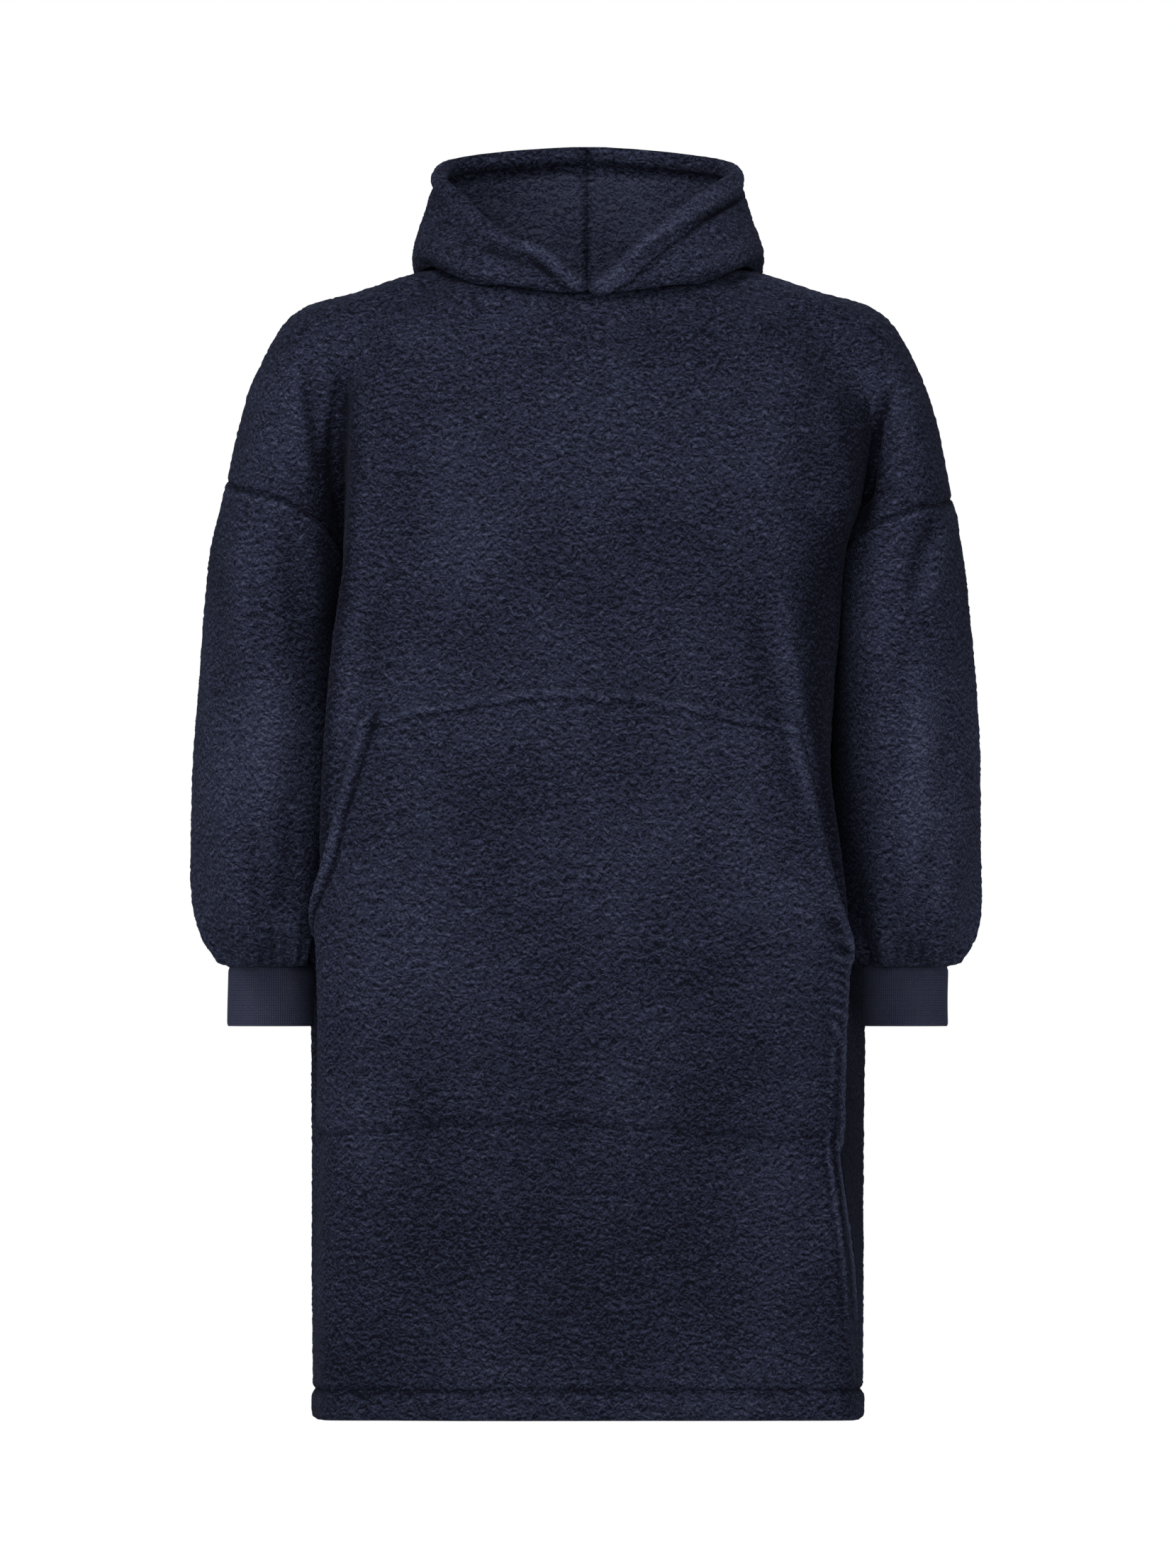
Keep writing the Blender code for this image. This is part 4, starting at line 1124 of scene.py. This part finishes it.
POCKET_COLUMNS = 116
POCKET_ROWS = 164
MOUTH_HEM = 17.0
MOUTH_ROLL = 4.4
TOP_ROLL = 11.0
TOP_ROLL_HIGH = 2.6
# How deep the pocket's top and bottom seams draw it in, how far from each, and how they wander.
SEAM_SUNK = 3.4
TOP_SUNK_WIDE = 4.0
BOTTOM_SUNK_WIDE = 6.0
SEAM_SWAY = 3.0
SWAY_CELLS = 9
SWAY_WAVES = 41
SWAY_WAVE_HIGH = 0.4
# Level of the row that spaces the pocket's columns.
EVEN_LEVEL = -660
# Shadow in its grooves and at its bottom seam, and light on its rolled edges.
GROOVE_SHADOW = 0.6
BOTTOM_SHADOW = 0.1
MOUTH_LIGHT = 0.5
TOP_LIGHT = 0.35


def pocket_cloth():
    """The pocket, made from the points of the panel under it, moved out."""
    widest = MOUTH_LEFT[-1][1]
    low = row_at(EVEN_LEVEL)
    edge = even_places(lambda share: body_point(-1, low, widest * (2 * share - 1))[0], POCKET_COLUMNS)
    across = 2 * edge - 1
    down = np.linspace(0, 1, POCKET_ROWS + 1)[:, None]
    top = np.interp(across, *zip(*POCKET_TOP))
    bottom = np.interp(across, *zip(*POCKET_BOTTOM))
    cells = np.stack([across * SWAY_CELLS, across * 0 + 3, across * 0], axis=-1)
    sway = SEAM_SWAY * (noise(cells, 31) + SWAY_WAVE_HIGH * np.cos(SWAY_WAVES * across))
    z = top + (bottom - top) * down + sway * (2 * np.abs(down - 0.5)) ** 3
    place = across * np.where(across < 0, along_table(z, MOUTH_LEFT), along_table(z, MOUTH_RIGHT))
    under, normals = body_point(-1, row_at(z), place)
    caught = fade(z, CAUGHT)
    room = fade(np.minimum(down, 1 - down), POCKET_END)
    room = room * (1 - caught * (1 - fade(np.abs(across), SIDE_ROOM)))
    room = room * (1 - SIDE_FLAT * fade(np.abs(normals[..., 0]), SIDE_TURN))
    stand = POCKET_SEAM_GAP + POCKET_ROOM * room + FLEECE_WALL
    points = under + normals * stand[..., None]
    from_left = lengths_along(points, 1)
    from_right = lengths_along(points[:, ::-1], 1)[:, ::-1]
    from_top = lengths_along(points, 0)
    from_bottom = lengths_along(points[::-1], 0)[::-1]
    stitch = np.maximum(beside(from_left, MOUTH_HEM), beside(from_right, MOUTH_HEM)) * (1 - caught)
    mouth = (roll(from_left, MOUTH_HEM, 1.0) + roll(from_right, MOUTH_HEM, 1.0)) * (1 - caught)
    top_roll = roll(from_top, TOP_ROLL, 1.0)
    puff = MOUTH_ROLL * mouth + TOP_ROLL_HIGH * top_roll
    drawn_in = beside(from_top, 0, TOP_SUNK_WIDE) + beside(from_bottom, 0, BOTTOM_SUNK_WIDE)
    points = points + normals * (puff - SEAM_SUNK * drawn_in)[..., None]
    shadow = GROOVE_SHADOW * (beside(from_top, TOP_ROLL) + stitch) + BOTTOM_SHADOW * beside(from_bottom, 2)
    shadow = shadow - MOUTH_LIGHT * mouth - TOP_LIGHT * top_roll + GAP_SHADOW * side_layers(points)
    return Cloth(points, normals, FLEECE_WALL + puff, stitch, body_softness(points), shadow)


def socket(group, name, way, kind="NodeSocketFloat", default=None):
    made = group.interface.new_socket(name, in_out=way, socket_type=kind)
    if default is not None:
        made.default_value = default


def put(tree, kind, values=None, **settings):
    """A shader node with its settings, and values for its inputs by name."""
    node = tree.nodes.new(kind)
    for name, value in settings.items():
        setattr(node, name, value)
    for name, value in (values or {}).items():
        node.inputs[name].default_value = value
    return node


def calculate(tree, operation, *values, clamp=False, kind="ShaderNodeMath"):
    """A Math or Vector Math node on sockets, numbers or vectors."""
    node = put(tree, kind, operation=operation)
    if clamp:
        node.use_clamp = True
    for number, value in enumerate(values):
        if isinstance(value, bpy.types.NodeSocket):
            tree.links.new(value, node.inputs[number])
        else:
            node.inputs[number].default_value = value
    return node.outputs[0]


def noise_node(tree, place, **values):
    """A Noise Texture node with one level of detail unless it states another."""
    node = put(tree, "ShaderNodeTexNoise", values={"Detail": 1.0, **values})
    tree.links.new(place, node.inputs["Vector"])
    return node


# Bends of the single curls: how many to a curl, and how far they go. Strands to a curl, and their height.
CURL_BENDS = 0.5
CURL_BEND_FAR = (1.6, 1.6, 1.6)
STRANDS = 2.6
STRAND_HIGH = 0.5
# How much painted light each curl's crest gets.
CURL_OWN_LIGHT = 0.35


def curl_group():
    """Curls and fibres of the pile that are finer than its mesh, with painted light on top and painted
    shadow beneath.
    """
    group = bpy.data.node_groups.new("curly pile", "ShaderNodeTree")
    socket(group, "Curl Size", "INPUT", default=0.0036)
    socket(group, "Flatten", "INPUT", default=1.0)
    socket(group, "Shade", "OUTPUT")
    socket(group, "Height", "OUTPUT")
    start, end = put(group, "NodeGroupInput"), put(group, "NodeGroupOutput")
    place = put(group, "ShaderNodeTexCoord").outputs["Object"]
    each = calculate(group, "DIVIDE", 1.0, start.outputs["Curl Size"])
    tall = calculate(group, "MULTIPLY", each, start.outputs["Flatten"])
    sizes = put(group, "ShaderNodeCombineXYZ")
    for number, size in enumerate((each, each, tall)):
        group.links.new(size, sizes.inputs[number])
    vector = "ShaderNodeVectorMath"
    cells = calculate(group, "MULTIPLY", place, sizes.outputs[0], kind=vector)
    bend = noise_node(group, cells, Scale=CURL_BENDS, Roughness=0.5).outputs["Color"]
    bent = calculate(group, "MULTIPLY_ADD", bend, CURL_BEND_FAR, cells, kind=vector)
    higher = calculate(group, "ADD", bent, CURL_SHADOW, kind=vector)
    heights = [noise_node(group, spot, Scale=1.0, Roughness=0.8).outputs["Fac"] for spot in (bent, higher)]
    strands = noise_node(group, cells, Scale=STRANDS, Roughness=0.7).outputs["Fac"]
    slope = calculate(group, "SUBTRACT", *heights)
    fine = calculate(group, "MULTIPLY", calculate(group, "SUBTRACT", strands, 0.5), STRAND_HIGH)
    own = calculate(group, "MULTIPLY", calculate(group, "SUBTRACT", heights[0], 0.5), CURL_OWN_LIGHT)
    total = calculate(group, "ADD", calculate(group, "ADD", slope, own), fine)
    contrast = calculate(group, "MULTIPLY", total, CURL_CONTRAST)
    group.links.new(calculate(group, "ADD", contrast, 0.5, clamp=True), end.inputs["Shade"])
    group.links.new(calculate(group, "ADD", heights[0], fine), end.inputs["Height"])
    return group


def patch_group():
    """Broad patches where the pile lies another way, for both cloths."""
    group = bpy.data.node_groups.new("uneven lie", "ShaderNodeTree")
    socket(group, "Patch Size", "INPUT", default=0.09)
    socket(group, "Lightness", "OUTPUT")
    start, end = put(group, "NodeGroupInput"), put(group, "NodeGroupOutput")
    place = put(group, "ShaderNodeTexCoord").outputs["Object"]
    each = calculate(group, "DIVIDE", 1.0, start.outputs["Patch Size"])
    broad = noise_node(group, place, Roughness=0.5)
    group.links.new(each, broad.inputs["Scale"])
    group.links.new(broad.outputs["Fac"], end.inputs["Lightness"])
    return group


def new_material(name, roughness):
    made = bpy.data.materials.new(name)
    made.use_nodes = True
    shader = made.node_tree.nodes["Principled BSDF"]
    shader.inputs["Roughness"].default_value = roughness
    shader.inputs["Metallic"].default_value = 0.0
    shader.inputs["Specular IOR Level"].default_value = 0.0
    return made.node_tree, shader


def ramp(tree, value, stops):
    node = put(tree, "ShaderNodeValToRGB")
    for number, (place, shade) in enumerate(stops):
        if number < 2:
            stop = node.color_ramp.elements[number]
            stop.position = place
        else:
            stop = node.color_ramp.elements.new(place)
        stop.color = (*shade, 1.0)
    tree.links.new(value, node.inputs["Fac"])
    return node.outputs["Color"]


# How much the pile's height (painted shade between clumps), its curls (painted light and shadow) and its
# broad patches lighten the fleece, less the patches' middle.
PILE_LIGHT = 0.10
CURL_LIGHT = 0.82
PATCH_LIGHT = 0.36
PATCH_MIDDLE = 0.196
SHADOW_DARK = 0.30
FLEECE_PATCH = 0.11
RIB_PATCH = 0.03
RIB_PATCH_LIGHT = 0.3
# How strongly the loops show as painted shade between them and painted highlight on their tops, less their
# middle.
RIB_LOOP_LIGHT = 0.6
RIB_LOOP_MIDDLE = 0.26
# Places on each ramp of the root colour (painted shade), the tip colour (painted highlight) and the middle
# colour.
FLEECE_STOPS = (0.2, 0.95, 0.6)
RIB_STOPS = (0.2, 0.8, 0.5)


def coat(tree, shader, shade, stops, height, strength, distance):
    """Gives a cloth its colour from a shade and its fine relief from a height."""
    tree.links.new(ramp(tree, shade, stops), shader.inputs["Base Color"])
    bump = put(tree, "ShaderNodeBump", values={"Strength": strength, "Distance": distance})
    tree.links.new(height, bump.inputs["Height"])
    tree.links.new(bump.outputs["Normal"], shader.inputs["Normal"])


def fleece_material(curl, patch):
    """Teddy fleece: curls and patches, with painted shade in stitches, creases and gaps, and painted light
    where the shadow attribute is negative.
    """
    colours = bpy.context.scene.hoodie_colours
    sizes = bpy.context.scene.hoodie_sizes
    tree, shader = new_material(FLEECE[0], roughness=0.96)
    curly = put(tree, "ShaderNodeGroup", node_tree=curl, values={"Curl Size": sizes.curl_size})
    patches = put(tree, "ShaderNodeGroup", node_tree=patch, values={"Patch Size": FLEECE_PATCH})
    pile = put(tree, "ShaderNodeAttribute", attribute_name="pile").outputs["Fac"]
    deep = calculate(tree, "MULTIPLY", pile, PILE_LIGHT)
    fine = calculate(tree, "MULTIPLY", curly.outputs["Shade"], CURL_LIGHT)
    broad = calculate(tree, "MULTIPLY", patches.outputs["Lightness"], PATCH_LIGHT)
    broad = calculate(tree, "SUBTRACT", broad, PATCH_MIDDLE)
    shade = calculate(tree, "ADD", calculate(tree, "ADD", deep, fine), broad)
    shadow = put(tree, "ShaderNodeAttribute", attribute_name="shadow").outputs["Fac"]
    shade = calculate(tree, "SUBTRACT", shade, calculate(tree, "MULTIPLY", shadow, SHADOW_DARK))
    stops = zip(FLEECE_STOPS, (colours.fleece_root_shade, colours.fleece_tip, colours.fleece))
    coat(tree, shader, shade, stops, curly.outputs["Height"], strength=0.8, distance=0.0011)
    shader.inputs["Sheen Weight"].default_value = 0.02
    shader.inputs["Sheen Roughness"].default_value = 0.45
    shader.inputs["Sheen Tint"].default_value = (0.62, 0.68, 1.0, 1.0)


def rib_material(patch):
    """Fine rib knit: rows of small loops across the ribs, which the mesh has, with painted shade between the
    loops and a painted highlight on their tops, mixed with random lint.
    """
    colours = bpy.context.scene.hoodie_colours
    tree, shader = new_material(RIB[0], roughness=0.85)
    place = put(tree, "ShaderNodeTexCoord").outputs["Object"]
    rows = put(
        tree, "ShaderNodeTexWave", wave_type="BANDS", bands_direction="Z",
        values={"Scale": 230.0, "Distortion": 1.6, "Detail": 2.0, "Detail Scale": 3.0},
    )
    tree.links.new(place, rows.inputs["Vector"])
    lint = noise_node(tree, place, Scale=900.0, Detail=3.0, Roughness=0.7)
    patches = put(tree, "ShaderNodeGroup", node_tree=patch, values={"Patch Size": RIB_PATCH})
    height = calculate(tree, "ADD", rows.outputs["Fac"], lint.outputs["Fac"])
    loops = calculate(tree, "SUBTRACT", calculate(tree, "MULTIPLY", height, RIB_LOOP_LIGHT), RIB_LOOP_MIDDLE)
    broad = calculate(tree, "MULTIPLY", patches.outputs["Lightness"], RIB_PATCH_LIGHT)
    stops = zip(RIB_STOPS, (colours.rib_root_shade, colours.rib_tip_highlight, colours.rib))
    shade = calculate(tree, "ADD", loops, broad)
    coat(tree, shader, shade, stops, height, strength=0.5, distance=0.0003)
    shader.inputs["Sheen Weight"].default_value = 0.08


def colour(name, description, default):
    return FloatVectorProperty(
        name=name, description=description, default=default, subtype="COLOR", size=3, min=0.0, max=1.0
    )


def length(name, description, default):
    return FloatProperty(
        name=name, description=description, default=default, unit="LENGTH", subtype="DISTANCE",
        min=0.0, precision=4,
    )


class HoodieSizes(bpy.types.PropertyGroup):
    """Sizes of the cloths that the looks use."""

    pile_height: length("Pile height", "Height of the clumps of curls above their creases", 0.0014)
    clump_wide: FloatProperty(name="Clump width", description="Width in mm", default=8.0, min=2.0)
    clump_high: FloatProperty(name="Clump height", description="Height in mm", default=4.8, min=2.0)
    curl_size: length("Curl size", "Width of one curl within a clump", 0.0041)
    stitch_depth: length("Stitch depth", "How deep a line of stitches draws the pile in", 0.0022)
    rib_height: length("Rib height", "Height of a cuff's ribs", 0.0007)


class HoodieColours(bpy.types.PropertyGroup):
    """Colours of the cloths and of the floor."""

    # The root colour is painted shade between the clumps of curls, and the tip colour a painted highlight
    # where light catches them.
    fleece: colour("Fleece", "Navy of the pile", (0.0152, 0.0176, 0.0322))
    fleece_root_shade: colour("Fleece root", "Between the clumps", (0.0036, 0.0039, 0.0068))
    fleece_tip: colour("Fleece tip", "Where the light catches the curls", (0.039, 0.044, 0.073))
    rib: colour("Rib", "Navy of the cuffs", (0.020, 0.0225, 0.041))
    # The rib's root colour is painted shade between the loops, and its tip colour a painted highlight on
    # their tops.
    rib_root_shade: colour("Rib root", "Between the cuffs' loops", (0.011, 0.0125, 0.024))
    rib_tip_highlight: colour("Rib tip", "Tops of the cuffs' loops", (0.030, 0.033, 0.057))
    floor: colour("Floor", "Pale studio floor", (0.86, 0.86, 0.86))


class HOODIE_OT_cloths(bpy.types.Operator):
    """Make the pile and rib materials"""

    bl_idname = "hoodie.cloths"
    bl_label = "Cloths"

    def execute(self, context):
        curl, patch = curl_group(), patch_group()
        fleece_material(curl, patch)
        rib_material(patch)
        return {"FINISHED"}


class HOODIE_OT_panels(bpy.types.Operator):
    """Build the front and back panels"""

    bl_idname = "hoodie.panels"
    bl_label = "Panels"

    def execute(self, context):
        for node, face in (("front", -1), ("back", 1)):
            piece = sew_piece(node, panel_cloth(face))
        return {"FINISHED"}


class HOODIE_OT_sleeves(bpy.types.Operator):
    """Build the balloon sleeves, gathered into their cuffs"""

    bl_idname = "hoodie.sleeves"
    bl_label = "Sleeves"

    def execute(self, context):
        for word, side in SIDES:
            piece = sew_piece(f"sleeve_{word}", sleeve_cloth(side))
        return {"FINISHED"}


class HOODIE_OT_cuffs(bpy.types.Operator):
    """Build the rib cuffs"""

    bl_idname = "hoodie.cuffs"
    bl_label = "Cuffs"

    def execute(self, context):
        for word, side in SIDES:
            piece = sew_piece(f"cuff_{word}", cuff_cloth(side), RIB, pile=0.0)
        return {"FINISHED"}


class HOODIE_OT_hood(bpy.types.Operator):
    """Build the two hood halves, with pile on both faces"""

    bl_idname = "hoodie.hood"
    bl_label = "Hood"

    def execute(self, context):
        for word, side in SIDES:
            piece = sew_piece(f"hood_{word}", hood_cloth(side), inside_pile=True)
        return {"FINISHED"}


class HOODIE_OT_pocket(bpy.types.Operator):
    """Build the wide pocket, open at both sides"""

    bl_idname = "hoodie.pocket"
    bl_label = "Pocket"

    def execute(self, context):
        piece = sew_piece("pocket", pocket_cloth())
        return {"FINISHED"}


def soft_light(name, place, aim, size, watts):
    light = bpy.data.lights.new(name, "AREA")
    light.shape = "RECTANGLE"
    light.size, light.size_y = size
    light.energy = watts
    holder = bpy.data.objects.new(name, light)
    holder.location = place
    holder.rotation_euler = (Vector(aim) - Vector(place)).to_track_quat("-Z", "Y").to_euler()
    bpy.context.scene.collection.objects.link(holder)


def white_world(scene):
    """Surroundings that light the cloth softly and are plain white as a background."""
    world = bpy.data.worlds.new("studio")
    scene.world = world
    world.use_nodes = True
    tree = world.node_tree
    seen = put(tree, "ShaderNodeLightPath").outputs["Is Camera Ray"]
    background = tree.nodes["Background"]
    background.inputs["Color"].default_value = (1.0, 1.0, 1.0, 1.0)
    tree.links.new(calculate(tree, "MAXIMUM", seen, SURROUNDINGS), background.inputs["Strength"])
    scene.view_settings.view_transform = "Standard"


def photo_camera(scene):
    """The camera, far away and with a long lens, at the photograph's scale."""
    lens = bpy.data.cameras.new("camera")
    lens.sensor_fit = "VERTICAL"
    lens.sensor_height = SENSOR
    lens.lens = SENSOR * CAMERA_AWAY / (PHOTO_HEIGHT / PHOTO_SCALE * MM)
    lens.clip_end = 3 * CAMERA_AWAY
    camera = bpy.data.objects.new("camera", lens)
    middle = (NECK_ROW - PHOTO_HEIGHT / 2) / PHOTO_SCALE * MM
    camera.location = (0.0, -CAMERA_AWAY, middle)
    camera.rotation_euler = (np.pi / 2, 0.0, 0.0)
    scene.collection.objects.link(camera)
    scene.camera = camera


class HOODIE_OT_stage(bpy.types.Operator):
    """Set up the pale floor, the soft lights and the camera"""

    bl_idname = "hoodie.stage"
    bl_label = "Stage"

    def execute(self, context):
        scene = context.scene
        shader = new_material("studio_floor", roughness=0.9)[1]
        shader.inputs["Base Color"].default_value = (*scene.hoodie_colours.floor, 1.0)
        turns = np.linspace(0, 2 * np.pi, FLOOR_CORNERS + 1)[:-1]
        circle = FLOOR_RADIUS * np.stack([np.cos(turns), np.sin(turns)])
        rim = np.stack([*circle, np.full(FLOOR_CORNERS, FLOOR_LEVEL)], 1)
        floor = mesh_piece("floor", rim, [list(range(FLOOR_CORNERS))], "studio_floor")
        white_world(scene)
        for light in LIGHTS:
            soft_light(*light)
        photo_camera(scene)
        return {"FINISHED"}


class HOODIE_PT_panel(bpy.types.Panel):
    """Sizes, colours and steps of the hoodie's looks"""

    bl_idname = "HOODIE_PT_panel"
    bl_label = "Blanket hoodie"
    bl_space_type = "VIEW_3D"
    bl_region_type = "UI"
    bl_category = "Hoodie"

    def draw(self, context):
        layout = self.layout
        for group in (context.scene.hoodie_sizes, context.scene.hoodie_colours):
            box = layout.box()
            for name in group.__annotations__:
                box.prop(group, name)
        for operator in OPERATORS:
            layout.operator(operator.bl_idname)


OPERATORS = (
    HOODIE_OT_cloths,
    HOODIE_OT_panels,
    HOODIE_OT_sleeves,
    HOODIE_OT_cuffs,
    HOODIE_OT_hood,
    HOODIE_OT_pocket,
    HOODIE_OT_stage,
)
CLASSES = (HoodieSizes, HoodieColours, *OPERATORS, HOODIE_PT_panel)


def register():
    for kind in CLASSES:
        bpy.utils.register_class(kind)
    bpy.types.Scene.hoodie_sizes = PointerProperty(type=HoodieSizes)
    bpy.types.Scene.hoodie_colours = PointerProperty(type=HoodieColours)


def unregister():
    del bpy.types.Scene.hoodie_colours
    del bpy.types.Scene.hoodie_sizes
    for kind in reversed(CLASSES):
        bpy.utils.unregister_class(kind)


def main():
    register()
    bpy.ops.hoodie.cloths()
    bpy.ops.hoodie.panels()
    bpy.ops.hoodie.sleeves()
    bpy.ops.hoodie.cuffs()
    bpy.ops.hoodie.hood()
    bpy.ops.hoodie.pocket()
    bpy.ops.hoodie.stage()


if __name__ == "__main__":
    main()
